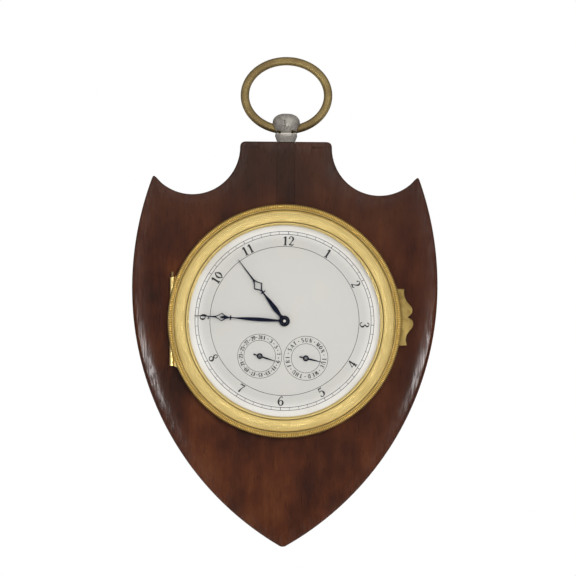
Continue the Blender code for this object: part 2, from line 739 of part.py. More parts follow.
# Wheels under the dial
def motion_work():
    cannon_phase = MINUTE_WHEEL_ANGLE
    tube = [(1.15, 40.75), (1.15, 30.6), (0.8, 30.6), (0.8, 40.75)]
    cannon = turned("cannon_pinion", tube, 14, STEEL, DIAL_FRAME)
    leaves = pinion_outline(8, CANNON_MODULE, cannon_phase)
    join(cannon, prism("join_cannon_leaves", [leaves, circle(1.0, 14)], 30.8, 32.0, None, DIAL_FRAME))

    facing = MINUTE_WHEEL_ANGLE + 180.0
    teeth = wheel_outline(24, CANNON_MODULE, gap_phase(24, facing))
    loops = [teeth, circle(1.15, 10)]
    spot = at_height(MINUTE_WHEEL_AT)
    minute = prism("minute_wheel", loops, 31.0, 31.9, BRASS, DIAL_FRAME, spot)
    leaves = pinion_outline(8, MINUTE_PINION_MODULE, facing)
    join(minute, prism("join_minute_leaves", [leaves, circle(0.95, 10)], 31.6, 33.4, None, DIAL_FRAME, spot))
    stud = shaft([(29.0, 33.7, 0.65), (33.7, 34.3, 1.0)])
    turned("minute_wheel_stud", stud, 8, STEEL, DIAL_FRAME, spot)

    teeth = wheel_outline(32, MINUTE_PINION_MODULE, gap_phase(32, MINUTE_WHEEL_ANGLE))
    hour = prism("hour_wheel", [teeth, circle(1.45, 12)], 32.3, 33.2, BRASS, DIAL_FRAME)
    pipe = [(1.75, 39.6), (1.75, 32.5), (1.45, 32.5), (1.45, 39.6)]
    join(hour, turned("join_hour_pipe", pipe, 12, None, DIAL_FRAME))
    leaves = toothed(12, 3.05, 4.3, 0.42, 0.22, CALENDAR_ANGLE)
    join(hour, prism("join_hour_leaves", [leaves, circle(1.6, 12)], 33.0, 34.5, None, DIAL_FRAME))


def calendar_work():
    facing = CALENDAR_ANGLE + 180.0
    teeth = wheel_outline(24, CALENDAR_MODULE, gap_phase(24, facing))
    loops = [teeth, circle(1.1, 10)]
    spot = at_height(CALENDAR_AT)
    wheel = prism("calendar_wheel", loops, 33.6, 34.4, BRASS, DIAL_FRAME, spot)
    finger = [(1.75, -0.6), (4.0, -0.25), (4.0, 0.25), (1.75, 0.6)]
    boss = arc((0.0, 0.0), 1.9, 25.0, 335.0, 8)
    join(wheel, prism("join_finger", [boss + finger, circle(1.1, 10)], 34.2, 36.0, None, DIAL_FRAME, spot))
    stud = shaft([(29.0, 36.5, 0.65)])
    turned("calendar_stud", stud, 8, STEEL, DIAL_FRAME, spot)

    for name, spot, points, root in (("date_star", DATE_AT, 31, 6.1), ("weekday_star", DAY_AT, 7, 4.2)):
        arbor = shaft([(29.0, 34.2, 0.5), (34.2, 36.3, 1.2), (36.3, 38.75, 0.5)])
        star = turned(name, arbor, 10, STEEL, DIAL_FRAME, at_height(spot))
        teeth = star_outline(points, root, 6.95)
        join(star, prism(f"join_{name}", [teeth], 35.0, 35.9, None, DIAL_FRAME, at_height(spot)))

    for name, spot, side in (("date_jumper", DATE_AT, -1.0), ("weekday_jumper", DAY_AT, 1.0)):
        foot = (spot[0] + side * 7.5, spot[1] - 9.0)
        nose = polar(spot, 7.4, 180.0 if side < 0 else 0.0)
        outside = polar(spot, 8.6, 180.0 if side < 0 else 0.0)
        bend = (spot[0] + side * 9.4, spot[1] - 3.0)
        inner_bend = (spot[0] + side * 8.3, spot[1] - 2.6)
        arm = [
            (foot[0] + side * 1.0, foot[1]),
            bend,
            (outside[0], outside[1] + 1.0),
            (nose[0] + side * 0.5, nose[1] + 0.9),
            nose,
            inner_bend,
            (foot[0] - side * 0.4, foot[1]),
        ]
        jumper = rod(name, 1.5, 30.6, 36.0, 14, SPRING_STEEL, DIAL_FRAME, at_height(foot))
        shifted = [(x - foot[0], y - foot[1]) for x, y in arm]
        join(jumper, prism(f"join_{name}", [shifted], 35.1, 35.8, None, DIAL_FRAME, at_height(foot)))


# Plates of the movement
PIVOTS = (
    (CENTRE_AT, 1.0),
    (BARREL_AT, 1.35),
    (THIRD_AT, 0.8),
    (FOURTH_AT, 0.8),
    (ESCAPE_AT, 0.8),
    (LEVER_AT, 0.8),
    (BALANCE_AT, 0.8),
)
FRONT_STUDS = (MINUTE_WHEEL_AT, CALENDAR_AT, DATE_AT, DAY_AT)
PILLAR_SPOTS = (
    ("pillar_right", (29.0, 14.0)),
    ("pillar_left", (-31.0, -6.0)),
    ("pillar_lower", (17.0, -28.5)),
)


def plates():
    front_holes = [circle(hole, 8, spot) for spot, hole in PIVOTS]
    front_holes += [circle(0.9, 8, spot) for spot in FRONT_STUDS]
    for _, angle in MOVEMENT_SCREWS:
        front_holes.append(circle(1.0, 8, polar(CENTRE_AT, MOVEMENT_SCREW_RADIUS, angle)))
    front_rim = circle(FRONT_PLATE_RADIUS, 40)
    prism("front_plate", [front_rim] + front_holes, *FRONT_PLATE, BRASS, DIAL_FRAME)

    back_holes = [circle(2.6 if spot == BALANCE_AT else hole, 8, spot) for spot, hole in PIVOTS]
    prism("back_plate", [circle(BACK_PLATE_RADIUS, 40)] + back_holes, *BACK_PLATE, GILT, DIAL_FRAME)

    for name, spot in PILLAR_SPOTS:
        profile = [
            (0.0, 28.0),
            (2.6, 28.0),
            (2.6, 26.8),
            (1.7, 26.0),
            (2.1, 22.4),
            (1.7, 18.8),
            (2.6, 18.0),
            (2.6, 16.8),
            (0.0, 16.8),
        ]
        turned(name, profile, 12, BRASS, DIAL_FRAME, at_height(spot))

    screw = shaft([(26.4, 30.6, 0.65), (30.6, 31.5, 1.5)])
    for name, angle in MOVEMENT_SCREWS:
        spot = at_height(polar(CENTRE_AT, MOVEMENT_SCREW_RADIUS, angle))
        turned(name, screw, 10, STEEL, DIAL_FRAME, spot)


# Barrel and winding work
def barrel_group():
    at = at_height(BARREL_AT)
    facing = BARREL_ANGLE + 180.0
    teeth = wheel_outline(64, BARREL_MODULE, facing)
    barrel = prism("barrel", [teeth, circle(2.0, 16)], 17.3, 18.5, BRASS, DIAL_FRAME, at)
    wall = [(14.4, 24.2), (14.4, 18.2), (13.5, 18.2), (13.5, 24.2)]
    join(barrel, turned("join_barrel_wall", wall, 24, None, DIAL_FRAME, at))
    lid = [(13.2, 24.1), (13.2, 23.3), (2.0, 23.3), (2.0, 24.1)]
    turned("barrel_cover", lid, 24, BRASS, DIAL_FRAME, at)

    arbor = shaft([(12.5, 17.0, 1.05), (17.0, 23.2, 1.6), (23.2, 27.6, 1.6), (27.6, 30.0, 1.05)])
    shape = turned("barrel_arbor", arbor, 12, STEEL, DIAL_FRAME, at)
    join(shape, block("join_winding_square", (-1.2, -1.2, 8.6), (1.2, 1.2, 13.0), None, DIAL_FRAME, at))
    join(shape, rod("join_spring_hub", 2.6, 18.9, 22.8, 12, None, DIAL_FRAME, at))

    strip = spiral_strip("mainspring", 4, 3.3, 13.0, 0.4, 0.0)
    prism("mainspring", [strip], 18.9, 22.8, SPRING_STEEL, DIAL_FRAME, at)

    ratchet = []
    for tooth in range(24):
        angle = math.radians(15.0 * tooth)
        following = math.radians(15.0 * (tooth + 0.92))
        ratchet.append((7.5 * math.cos(angle), 7.5 * math.sin(angle)))
        ratchet.append((6.4 * math.cos(following), 6.4 * math.sin(following)))
    square = [(1.4, 1.4), (-1.4, 1.4), (-1.4, -1.4), (1.4, -1.4)]
    prism("ratchet_wheel", [ratchet, square], 10.9, 12.1, STEEL, DIAL_FRAME, at)

    click_at = at_height(CLICK_AT)
    beak = polar((0.0, 0.0), 5.7, 240.0)
    shape = arc((0.0, 0.0), 2.0, -70.0, 220.0, 12)
    shape += [(beak[0] - 0.5, beak[1] + 0.4), (beak[0], beak[1]), (beak[0] + 0.9, beak[1] + 1.0)]
    prism("click", [shape, circle(1.0, 12)], 11.0, 12.0, STEEL, DIAL_FRAME, click_at)
    stud = shaft([(8.9, 10.6, 1.7), (10.6, 14.2, 0.7)])
    turned("click_screw", stud, 10, SPRING_STEEL, DIAL_FRAME, click_at)
    foot = at_height((CLICK_AT[0] + 7.0, CLICK_AT[1] + 1.5))
    spring = rod("click_spring", 1.2, 10.4, 14.2, 12, SPRING_STEEL, DIAL_FRAME, foot)
    blade = [(0.4, 0.3), (-0.2, 0.9), (-4.5, -0.3), (-4.75, -1.5), (-4.3, -1.5), (-4.0, -0.7), (0.1, -0.4)]
    join(spring, prism("join_click_blade", [blade], 11.1, 11.9, None, DIAL_FRAME, foot))


# Going train
def train_wheel(name, at, wheel, wheel_z, arms, pinion, pinion_z, pivot):
    """A wheel, its pinion and its arbor as one riveted piece."""
    teeth, module, phase = wheel
    leaves, leaf_module, leaf_phase = pinion
    spot = at_height(at)
    arbor = shaft(
        [
            (BACK_PLATE[0] + 0.2, BACK_PLATE[1] + 0.3, pivot),
            (BACK_PLATE[1] + 0.3, FRONT_PLATE[0] - 0.3, pivot + 0.2),
            (FRONT_PLATE[0] - 0.3, FRONT_PLATE[1] - 0.2, pivot),
        ]
    )
    part = turned(name, arbor, 10, BRASS, DIAL_FRAME, spot)
    pitch_radius = teeth * module / 2.0
    rim = pitch_radius - 1.4 * module - 1.0
    loops = [wheel_outline(teeth, module, phase)]
    if arms:
        loops += windows(arms, 2.6, rim, 1.3)
    join(part, prism(f"join_{name}_rim", loops, wheel_z, wheel_z + 0.8, None, DIAL_FRAME, spot))
    outline = pinion_outline(leaves, leaf_module, leaf_phase)
    join(part, prism(f"join_{name}_leaves", [outline], pinion_z, pinion_z + 1.5, None, DIAL_FRAME, spot))
    return part


def going_train():
    center = train_wheel(
        "center_wheel",
        CENTRE_AT,
        (48, CENTRE_MODULE, THIRD_ANGLE),
        25.8,
        4,
        (8, BARREL_MODULE, gap_phase(8, BARREL_ANGLE)),
        17.15,
        0.6,
    )
    join(center, rod("join_center_post", 0.55, 29.0, 40.2, 12, None, DIAL_FRAME))
    train_wheel(
        "third_wheel",
        THIRD_AT,
        (45, THIRD_MODULE, FOURTH_ANGLE),
        19.5,
        4,
        (6, CENTRE_MODULE, gap_phase(6, THIRD_ANGLE + 180.0)),
        25.4,
        0.5,
    )
    train_wheel(
        "fourth_wheel",
        FOURTH_AT,
        (60, FOURTH_MODULE, ESCAPE_ANGLE),
        23.5,
        4,
        (6, THIRD_MODULE, gap_phase(6, FOURTH_ANGLE + 180.0)),
        19.1,
        0.4,
    )
    spot = at_height(ESCAPE_AT)
    arbor = shaft([(14.7, 16.8, 0.35), (16.8, 28.0, 0.42), (28.0, 30.1, 0.35)])
    escape = turned("escape_wheel", arbor, 8, STEEL, DIAL_FRAME, spot)
    points = []
    for tooth in range(15):
        for radius, angle in ((3.5, 0.0), (4.9, 9.0), (4.9, 11.5), (3.7, 15.0)):
            turn = math.radians(24.0 * tooth + angle)
            points.append((radius * math.cos(turn), radius * math.sin(turn)))
    join(escape, prism("join_escape_teeth", [points], 18.0, 18.6, None, DIAL_FRAME, spot))
    leaves = pinion_outline(6, FOURTH_MODULE, gap_phase(6, ESCAPE_ANGLE + 180.0))
    join(escape, prism("join_escape_leaves", [leaves], 23.1, 24.7, None, DIAL_FRAME, spot))


def escapement():
    at = at_height(LEVER_AT)
    arbor = shaft([(14.7, 16.8, 0.35), (16.8, 28.0, 0.45), (28.0, 30.1, 0.35)])
    lever = turned("pallet_lever", arbor, 8, STEEL, DIAL_FRAME, at)
    along = math.radians(LEVER_ANGLE)
    ux = math.cos(along)
    uy = math.sin(along)
    flat = [
        (0.2, 1.0),
        (-0.7, 3.4),
        (-3.1, 5.4),
        (-3.5, 4.75),
        (-1.65, 2.7),
        (-0.95, 0.0),
        (-1.65, -2.7),
        (-3.5, -4.75),
        (-3.1, -5.4),
        (-0.7, -3.4),
        (0.2, -1.0),
        (1.2, -0.5),
        (6.2, -0.45),
        (7.6, -1.1),
        (8.1, -0.7),
        (7.3, 0.0),
        (8.1, 0.7),
        (7.6, 1.1),
        (6.2, 0.45),
        (1.2, 0.5),
    ]
    outline = [(x * ux - y * uy, x * uy + y * ux) for x, y in flat]
    join(lever, prism("join_pallets", [outline], 18.0, 18.6, None, DIAL_FRAME, at))

    at = at_height(BALANCE_AT)
    staff = shaft(
        [
            (7.2, 9.0, 0.35),
            (9.0, 19.1, 0.6),
            (19.1, 19.8, 1.9),
            (19.8, 28.0, 0.5),
            (28.0, 30.1, 0.35),
        ]
    )
    balance = turned("balance_wheel", staff, 12, BRASS, DIAL_FRAME, at)
    loops = [circle(9.0, 28)] + windows(3, 1.7, 7.5, 1.4)
    join(balance, prism("join_balance_rim", loops, 10.2, 11.4, None, DIAL_FRAME, at))

    outer = 6.2
    start = 135.0
    strip = spiral_strip("balance spring", 3, 2.2, outer, 0.25, start)
    spring = prism("balance_spring", [strip], 12.4, 13.2, SPRING_STEEL, DIAL_FRAME, at)
    stud_at = at_height(polar(BALANCE_AT, outer, start))
    join(spring, rod("join_spring_stud", 0.7, 12.2, 14.2, 10, None, DIAL_FRAME, stud_at))

    foot = at_height(COCK_FOOT_AT)
    cock = rod("balance_cock", 3.2, 6.4, 14.2, 20, GILT, DIAL_FRAME, foot)
    reach = (BALANCE_AT[0] - COCK_FOOT_AT[0], BALANCE_AT[1] - COCK_FOOT_AT[1])
    length = math.hypot(*reach)
    ux = reach[0] / length
    uy = reach[1] / length
    table = arc((length, 0.0), 3.6, -140.0, 140.0, 14)
    arm = table + [(length - 4.5, 2.0), (0.0, 2.6), (-1.5, 0.0), (0.0, -2.6), (length - 4.5, -2.0)]
    outline = [(x * ux - y * uy, x * uy + y * ux) for x, y in arm]
    join(cock, prism("join_cock_table", [outline], 6.4, 8.6, None, DIAL_FRAME, foot))
    cut(cock, rod("cut_staff_hole", 0.7, 6.9, 10.0, 12, None, DIAL_FRAME, at))
    cut(cock, rod("cut_cock_screw", 1.0, 5.0, 15.0, 12, None, DIAL_FRAME, foot))
    screw = shaft([(5.2, 6.1, 1.8), (6.1, 13.9, 0.7)])
    turned("cock_screw", screw, 10, SPRING_STEEL, DIAL_FRAME, foot)


wooden_case()
pendant_and_bow()
drum()
bezel_hinge()
bezel_group()
rear_door_group()
dial_and_hands()
motion_work()
calendar_work()
plates()
barrel_group()
going_train()
escapement()
bpy.context.view_layer.update()
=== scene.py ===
"""Looks of a shield-shaped hanging travel clock: wood, gilt bezel, silvered calendar dial, blued hands.

Pieces are modelled in the dial's own frame, in millimetres: x to the viewer's right, y towards the top of
the case, z towards the viewer, from the dial's centre and the back of the wood. They are stood upright at
the end.
"""

from __future__ import annotations

import json
import logging
import math
from dataclasses import dataclass
from enum import Enum

import bpy
from mathutils import Matrix, Quaternion, Vector

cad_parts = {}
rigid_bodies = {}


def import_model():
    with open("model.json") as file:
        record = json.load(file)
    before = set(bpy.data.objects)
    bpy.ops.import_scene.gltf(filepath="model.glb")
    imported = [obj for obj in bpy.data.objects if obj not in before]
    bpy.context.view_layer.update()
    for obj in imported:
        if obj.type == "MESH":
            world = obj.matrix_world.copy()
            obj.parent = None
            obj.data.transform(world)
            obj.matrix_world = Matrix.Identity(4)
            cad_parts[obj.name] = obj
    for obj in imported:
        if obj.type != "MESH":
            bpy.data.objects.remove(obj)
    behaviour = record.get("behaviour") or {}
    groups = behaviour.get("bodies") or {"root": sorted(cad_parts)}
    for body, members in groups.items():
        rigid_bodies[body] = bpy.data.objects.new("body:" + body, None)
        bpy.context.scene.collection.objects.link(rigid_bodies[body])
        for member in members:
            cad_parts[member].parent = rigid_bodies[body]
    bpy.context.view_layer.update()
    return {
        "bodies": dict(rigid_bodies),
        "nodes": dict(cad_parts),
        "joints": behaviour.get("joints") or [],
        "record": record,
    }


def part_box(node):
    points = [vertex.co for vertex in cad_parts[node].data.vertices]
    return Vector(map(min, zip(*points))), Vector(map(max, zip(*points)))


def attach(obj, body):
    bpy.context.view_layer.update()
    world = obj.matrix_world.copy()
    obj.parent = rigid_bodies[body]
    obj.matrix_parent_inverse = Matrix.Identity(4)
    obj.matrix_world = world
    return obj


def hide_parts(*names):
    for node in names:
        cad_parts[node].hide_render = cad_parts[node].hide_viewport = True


LOG = logging.getLogger("travel_clock")

Point = tuple[float, float]
Spot = tuple[float, float, float]
Loop = list[Point]
Piece = bpy.types.Object
Material = bpy.types.Material
Socket = bpy.types.NodeSocket
Sockets = bpy.types.NodeOutputs

MM = 0.001
FULL_TURN = 2.0 * math.pi
QUARTER_TURN = math.pi / 2.0
CENTRE: Point = (0.0, 0.0)

# Distances in metres below which points are one point, and faces are slivers
MERGE = 2e-6
SLIVER = 4e-6

# Sizes that several pieces or finishes share, in millimetres and degrees
REEDS = 400
DIAL_TURN = -2.2
DATE_AT: Point = (-10.45, -16.4)
DAY_AT: Point = (10.45, -16.4)


class Pattern(Enum):
    """Ways in which a metal surface is worked."""

    PLAIN = "plain"
    CIRCULAR = "circular"
    ENGINE_TURNED = "engine_turned"
    SPECKLED = "speckled"
    REEDED = "reeded"


class Tops(Enum):
    """Which way the top of a figure on a ring points."""

    OUTWARD = 1.0
    INWARD = -1.0


class Along(Enum):
    """Turns that lay a bar along an axis."""

    X = (0.0, QUARTER_TURN, 0.0)
    Y = (QUARTER_TURN, 0.0, 0.0)
    Z = (0.0, 0.0, 0.0)


class Fit(Enum):
    """What stays of a piece where a tool meets it."""

    CUT = "DIFFERENCE"
    WELDED = "UNION"
    SHARED = "INTERSECT"


# Outlines


def polar(radius: float, degrees: float, centre: Point = CENTRE) -> Point:
    """Point at a distance and a direction, anticlockwise from +x, from a centre."""
    angle = math.radians(degrees)
    return (centre[0] + radius * math.cos(angle), centre[1] + radius * math.sin(angle))


def arc(centre: Point, radius: float, start: float, end: float, count: int) -> Loop:
    """Points of a circular arc from one direction in degrees to another, with both ends."""
    return [polar(radius, start + (end - start) * i / count, centre) for i in range(count + 1)]


def circle(radius: float, count: int, centre: Point = CENTRE) -> Loop:
    """A closed round outline without its last point repeated."""
    return arc(centre, radius, 0.0, 360.0, count)[:-1]


def smooth(points: Loop, per_span: int = 6) -> Loop:
    """An open curve that passes smoothly through a few points.

    Args:
        points: points to pass through.
        per_span: steps from each point to the next.

    Returns:
        The denser row of points.
    """
    padded = [points[0], *points, points[-1]]
    dense: Loop = []
    for index in range(len(points) - 1):
        p0, p1, p2, p3 = (Vector(p) for p in padded[index : index + 4])
        for step in range(per_span):
            t = step / per_span
            spot = p1 * 2.0 + (p2 - p0) * t
            spot += (p0 * 2.0 - p1 * 5.0 + p2 * 4.0 - p3) * t * t
            spot += (p1 * 3.0 - p0 - p2 * 3.0 + p3) * t * t * t
            dense.append((spot.x / 2.0, spot.y / 2.0))
    return [*dense, points[-1]]


def joined(first: Loop, second: Loop, per_span: int) -> Loop:
    """Two smooth curves that meet in a corner, the second starting where the first ends."""
    return smooth(first, per_span) + smooth(second, per_span)[1:]


def rounded(first: Point, corner: Point, last: Point, steps: int) -> Loop:
    """Points of a rounded corner with both ends.

    Args:
        first: where the rounding starts.
        corner: the sharp corner that it replaces.
        last: where the rounding ends.
        steps: number of steps between its ends.

    Returns:
        The points in order.
    """
    row: Loop = []
    for index in range(steps + 1):
        t = index / steps
        spot = Vector(first) * (1.0 - t) ** 2 + Vector(corner) * 2.0 * t * (1.0 - t) + Vector(last) * t * t
        row.append((spot.x, spot.y))
    return row


def mirrored(half: Loop) -> Loop:
    """A closed outline from its right side, bottom to top, and its mirror image."""
    return half + [(-x, y) for x, y in reversed(half) if x > 1e-6]


# Modelling steps


class Bench:
    """Modelling steps that many pieces share, each on the operators of Blender."""

    upright = Matrix.Identity(4)

    @staticmethod
    def place(name: str, data: bpy.types.ID) -> Piece:
        """Put a new object with this data into the scene.

        Args:
            name: name of the object.
            data: its mesh, curve, camera or light.

        Returns:
            The new object.
        """
        piece = bpy.data.objects.new(name, data)
        bpy.context.scene.collection.objects.link(piece)
        return piece

    @staticmethod
    def pick(*pieces: Piece) -> None:
        """Select these objects and nothing else, the first one being active.

        Args:
            pieces: the objects, or none to select nothing.
        """
        bpy.ops.object.select_all(action="DESELECT")
        for piece in pieces:
            piece.select_set(True)
        if pieces:
            bpy.context.view_layer.objects.active = pieces[0]

    @classmethod
    def settle(cls, piece: Piece) -> None:
        """Move the place, turn and size of an object into its mesh."""
        cls.pick(piece)
        bpy.ops.object.transform_apply(location=True, rotation=True, scale=True)

    @classmethod
    def edit(cls, piece: Piece, mode: str, chosen: list[bool]) -> None:
        """Go into edit mode with some of the vertices or faces selected.

        Args:
            piece: the mesh to edit.
            mode: "VERT" or "FACE".
            chosen: for each vertex or face, whether it is selected.
        """
        cls.pick(piece)
        bpy.ops.object.mode_set(mode="EDIT")
        bpy.ops.mesh.select_mode(type=mode)
        bpy.ops.mesh.select_all(action="DESELECT")
        bpy.ops.object.mode_set(mode="OBJECT")
        items = piece.data.vertices if mode == "VERT" else piece.data.polygons
        items.foreach_set("select", chosen)
        bpy.ops.object.mode_set(mode="EDIT")

    @classmethod
    def edit_all(cls, piece: Piece) -> None:
        """Go into edit mode with the whole mesh selected.

        Args:
            piece: the mesh to edit.
        """
        cls.pick(piece)
        bpy.ops.object.mode_set(mode="EDIT")
        bpy.ops.mesh.select_all(action="SELECT")

    @classmethod
    def tidy_mesh(cls, piece: Piece, flat_angle: float = 0.0) -> None:
        """Merge doubled points, turn all faces outwards and dissolve flat edges.

        Args:
            piece: the mesh to tidy.
            flat_angle: angle in degrees below which edges are dissolved, or 0 to keep them.
        """
        cls.edit_all(piece)
        bpy.ops.mesh.remove_doubles(threshold=MERGE)
        if flat_angle:
            bpy.ops.mesh.dissolve_limited(angle_limit=math.radians(flat_angle))
        bpy.ops.mesh.normals_make_consistent(inside=False)
        bpy.ops.object.mode_set(mode="OBJECT")

    @classmethod
    def mend(cls, piece: Piece) -> None:
        """Dissolve the slivers without area that a cut or a rounding can leave.

        Args:
            piece: the mesh to mend.
        """
        cls.edit_all(piece)
        bpy.ops.mesh.dissolve_degenerate(threshold=SLIVER)
        bpy.ops.object.mode_set(mode="OBJECT")

    @classmethod
    def turned(cls, name: str, profile: Loop, steps: int) -> Piece:
        """A body turned about the dial's axis.

        Args:
            name: name of the piece.
            profile: (radius, height) points, the first repeated last for a ring.
            steps: faces round the turn.

        Returns:
            The new object.
        """
        cls.pick()
        bpy.ops.mesh.primitive_plane_add(size=MM)
        piece = bpy.context.object
        piece.name = name
        bpy.ops.object.mode_set(mode="EDIT")
        bpy.ops.mesh.select_mode(type="VERT")
        bpy.ops.mesh.select_all(action="SELECT")
        bpy.ops.mesh.merge(type="CENTER")
        at = Vector((0.0, 0.0, 0.0))
        for index, (radius, height) in enumerate(profile):
            spot = Vector((radius, 0.0, height)) * MM
            if index == 0:
                bpy.ops.transform.translate(value=spot - at)
            else:
                bpy.ops.mesh.extrude_vertices_move(TRANSFORM_OT_translate={"value": spot - at})
            at = spot
        bpy.ops.mesh.select_all(action="SELECT")
        bpy.ops.mesh.remove_doubles(threshold=MERGE)
        bpy.ops.mesh.spin(steps=steps, angle=FULL_TURN, center=(0.0, 0.0, 0.0), axis=(0.0, 0.0, 1.0))
        bpy.ops.object.mode_set(mode="OBJECT")
        cls.tidy_mesh(piece)
        return piece

    @staticmethod
    def closed_line(curve: bpy.types.Curve, loop: Loop, pen: float = 1.0) -> None:
        """Draw a closed line in a curve.

        Args:
            curve: the curve to draw in.
            loop: points of the line in millimetres.
            pen: its half width, for a curve that has a bevel.
        """
        spline = curve.splines.new("POLY")
        spline.points.add(len(loop) - 1)
        for knot, (x, y) in zip(spline.points, loop):
            knot.co = (x * MM, y * MM, 0.0, 1.0)
            knot.radius = pen
        spline.use_cyclic_u = True

    @classmethod
    def as_mesh(cls, piece: Piece, flat_angle: float = 0.0) -> None:
        """Turn a curve into a tidy mesh that holds its own place.

        Args:
            piece: the object of the curve.
            flat_angle: angle in degrees below which edges are dissolved, or 0 to keep them.
        """
        cls.pick(piece)
        bpy.ops.object.convert(target="MESH")
        cls.settle(piece)
        cls.tidy_mesh(piece, flat_angle)

    @classmethod
    def plate(cls, name: str, loops: list[Loop], low: float, high: float) -> Piece:
        """A flat plate between two heights.

        Args:
            name: name of the piece.
            loops: closed outlines, those inside another being holes.
            low: height of its back.
            high: height of its front.

        Returns:
            The new object.
        """
        curve = bpy.data.curves.new(name, "CURVE")
        curve.dimensions = "2D"
        curve.fill_mode = "BOTH"
        curve.extrude = (high - low) / 2.0 * MM
        for loop in loops:
            cls.closed_line(curve, loop)
        piece = cls.place(name, curve)
        piece.location.z = (low + high) / 2.0 * MM
        cls.as_mesh(piece, 0.3)
        return piece

    @classmethod
    def lofted(cls, name: str, levels: list[tuple[Loop, float]]) -> Piece:
        """A body that passes through outlines of equal length at rising heights.

        Args:
            name: name of the piece.
            levels: each outline and its height.

        Returns:
            The new object.
        """
        cls.pick()
        bpy.ops.mesh.primitive_circle_add(vertices=len(levels[0][0]), radius=MM, fill_type="NGON")
        piece = bpy.context.object
        piece.name = name
        order = list(range(len(piece.data.vertices)))
        for index, (loop, height) in enumerate(levels):
            if index:
                count = len(piece.data.vertices)
                top = max(piece.data.polygons, key=lambda face: face.center.z).index
                below = {tuple(piece.data.vertices[v].co): place for place, v in enumerate(order)}
                cls.edit(piece, "FACE", [face.index == top for face in piece.data.polygons])
                bpy.ops.mesh.extrude_region_move()
                bpy.ops.object.mode_set(mode="OBJECT")
                fresh = {below[tuple(v.co)]: v.index for v in piece.data.vertices[count:]}
                order = [fresh[place] for place in range(len(loop))]
            for vertex, (x, y) in zip(order, loop):
                piece.data.vertices[vertex].co = (x * MM, y * MM, height * MM)
            piece.data.update()
        cls.tidy_mesh(piece)
        return piece

    @classmethod
    def cylinder(
        cls, radius: float, length: float, at: Spot, along: Along = Along.Z, sides: int = 64
    ) -> Piece:
        """A round bar centred on a point, a start for a bore or a knuckle.

        Args:
            radius: radius in millimetres.
            length: length in millimetres.
            at: middle of the bar.
            along: axis of the bar.
            sides: faces round it.

        Returns:
            The new object.
        """
        cls.pick()
        sizes = {"vertices": sides, "radius": radius * MM, "depth": length * MM}
        bpy.ops.mesh.primitive_cylinder_add(location=Vector(at) * MM, rotation=along.value, **sizes)
        piece = bpy.context.object
        cls.settle(piece)
        return piece

    @classmethod
    def box(cls, low: Spot, high: Spot) -> Piece:
        """A block between two corners, a start for a seat or a web.

        Args:
            low: its lowest corner.
            high: its highest corner.

        Returns:
            The new object.
        """
        cls.pick()
        bpy.ops.mesh.primitive_cube_add(size=MM, location=(Vector(low) + Vector(high)) / 2.0 * MM)
        piece = bpy.context.object
        piece.scale = Vector(high) - Vector(low)
        cls.settle(piece)
        return piece

    @classmethod
    def modify(cls, piece: Piece, kind: str, **settings: object) -> None:
        """Add a modifier, set it and apply it.

        Args:
            piece: the mesh that it works on.
            kind: Blender's name of the modifier.
            settings: values of the modifier.
        """
        modifier = piece.modifiers.new(kind.title(), kind)
        for key, value in settings.items():
            setattr(modifier, key, value)
        cls.pick(piece)
        bpy.ops.object.modifier_apply(modifier=modifier.name)

    @classmethod
    def combine(cls, piece: Piece, fit: Fit, *tools: Piece) -> None:
        """Let tools meet a piece one after the other, and remove them.

        Args:
            piece: the mesh that is kept.
            fit: what stays of it.
            tools: the meshes that meet it.
        """
        for tool in tools:
            cls.modify(piece, "BOOLEAN", operation=fit.value, solver="EXACT", object=tool)
            bpy.data.objects.remove(tool, do_unlink=True)
            cls.mend(piece)

    @classmethod
    def cut(cls, piece: Piece, *tools: Piece) -> None:
        """Take the space of each tool out of a piece."""
        cls.combine(piece, Fit.CUT, *tools)

    @classmethod
    def weld(cls, piece: Piece, *tools: Piece) -> None:
        """Make each tool part of a piece."""
        cls.combine(piece, Fit.WELDED, *tools)

    @classmethod
    def soften(cls, piece: Piece, width: float = 0.0, segments: int = 2, angle: float = 32.0) -> None:
        """Round the edges of a piece and shade it smooth.

        Args:
            piece: the mesh to soften.
            width: width of the rounding in millimetres, or 0 to round nothing.
            segments: faces across the rounding.
            angle: edges sharper than this angle in degrees are rounded.
        """
        limit = math.radians(angle)
        if width:
            rounding = {"width": width * MM, "segments": segments}
            cls.modify(piece, "BEVEL", limit_method="ANGLE", angle_limit=limit, **rounding)
            cls.mend(piece)
        cls.pick(piece)
        bpy.ops.object.shade_smooth_by_angle(angle=limit)

    @classmethod
    def flatten(cls, piece: Piece) -> None:
        """Let the broad flat faces of a softened piece shade flat."""
        cls.modify(piece, "WEIGHTED_NORMAL", keep_sharp=True)

    @classmethod
    def stand(cls, piece: Piece, turn: float = 0.0) -> Piece:
        """Stand a piece upright on the frame, its place in its mesh.

        Args:
            piece: a piece modelled in the dial's frame.
            turn: turn about the dial's axis in degrees.

        Returns:
            The same piece.
        """
        piece.matrix_world = cls.upright @ Matrix.Rotation(math.radians(turn), 4, "Z") @ piece.matrix_world
        cls.settle(piece)
        return piece


# Materials


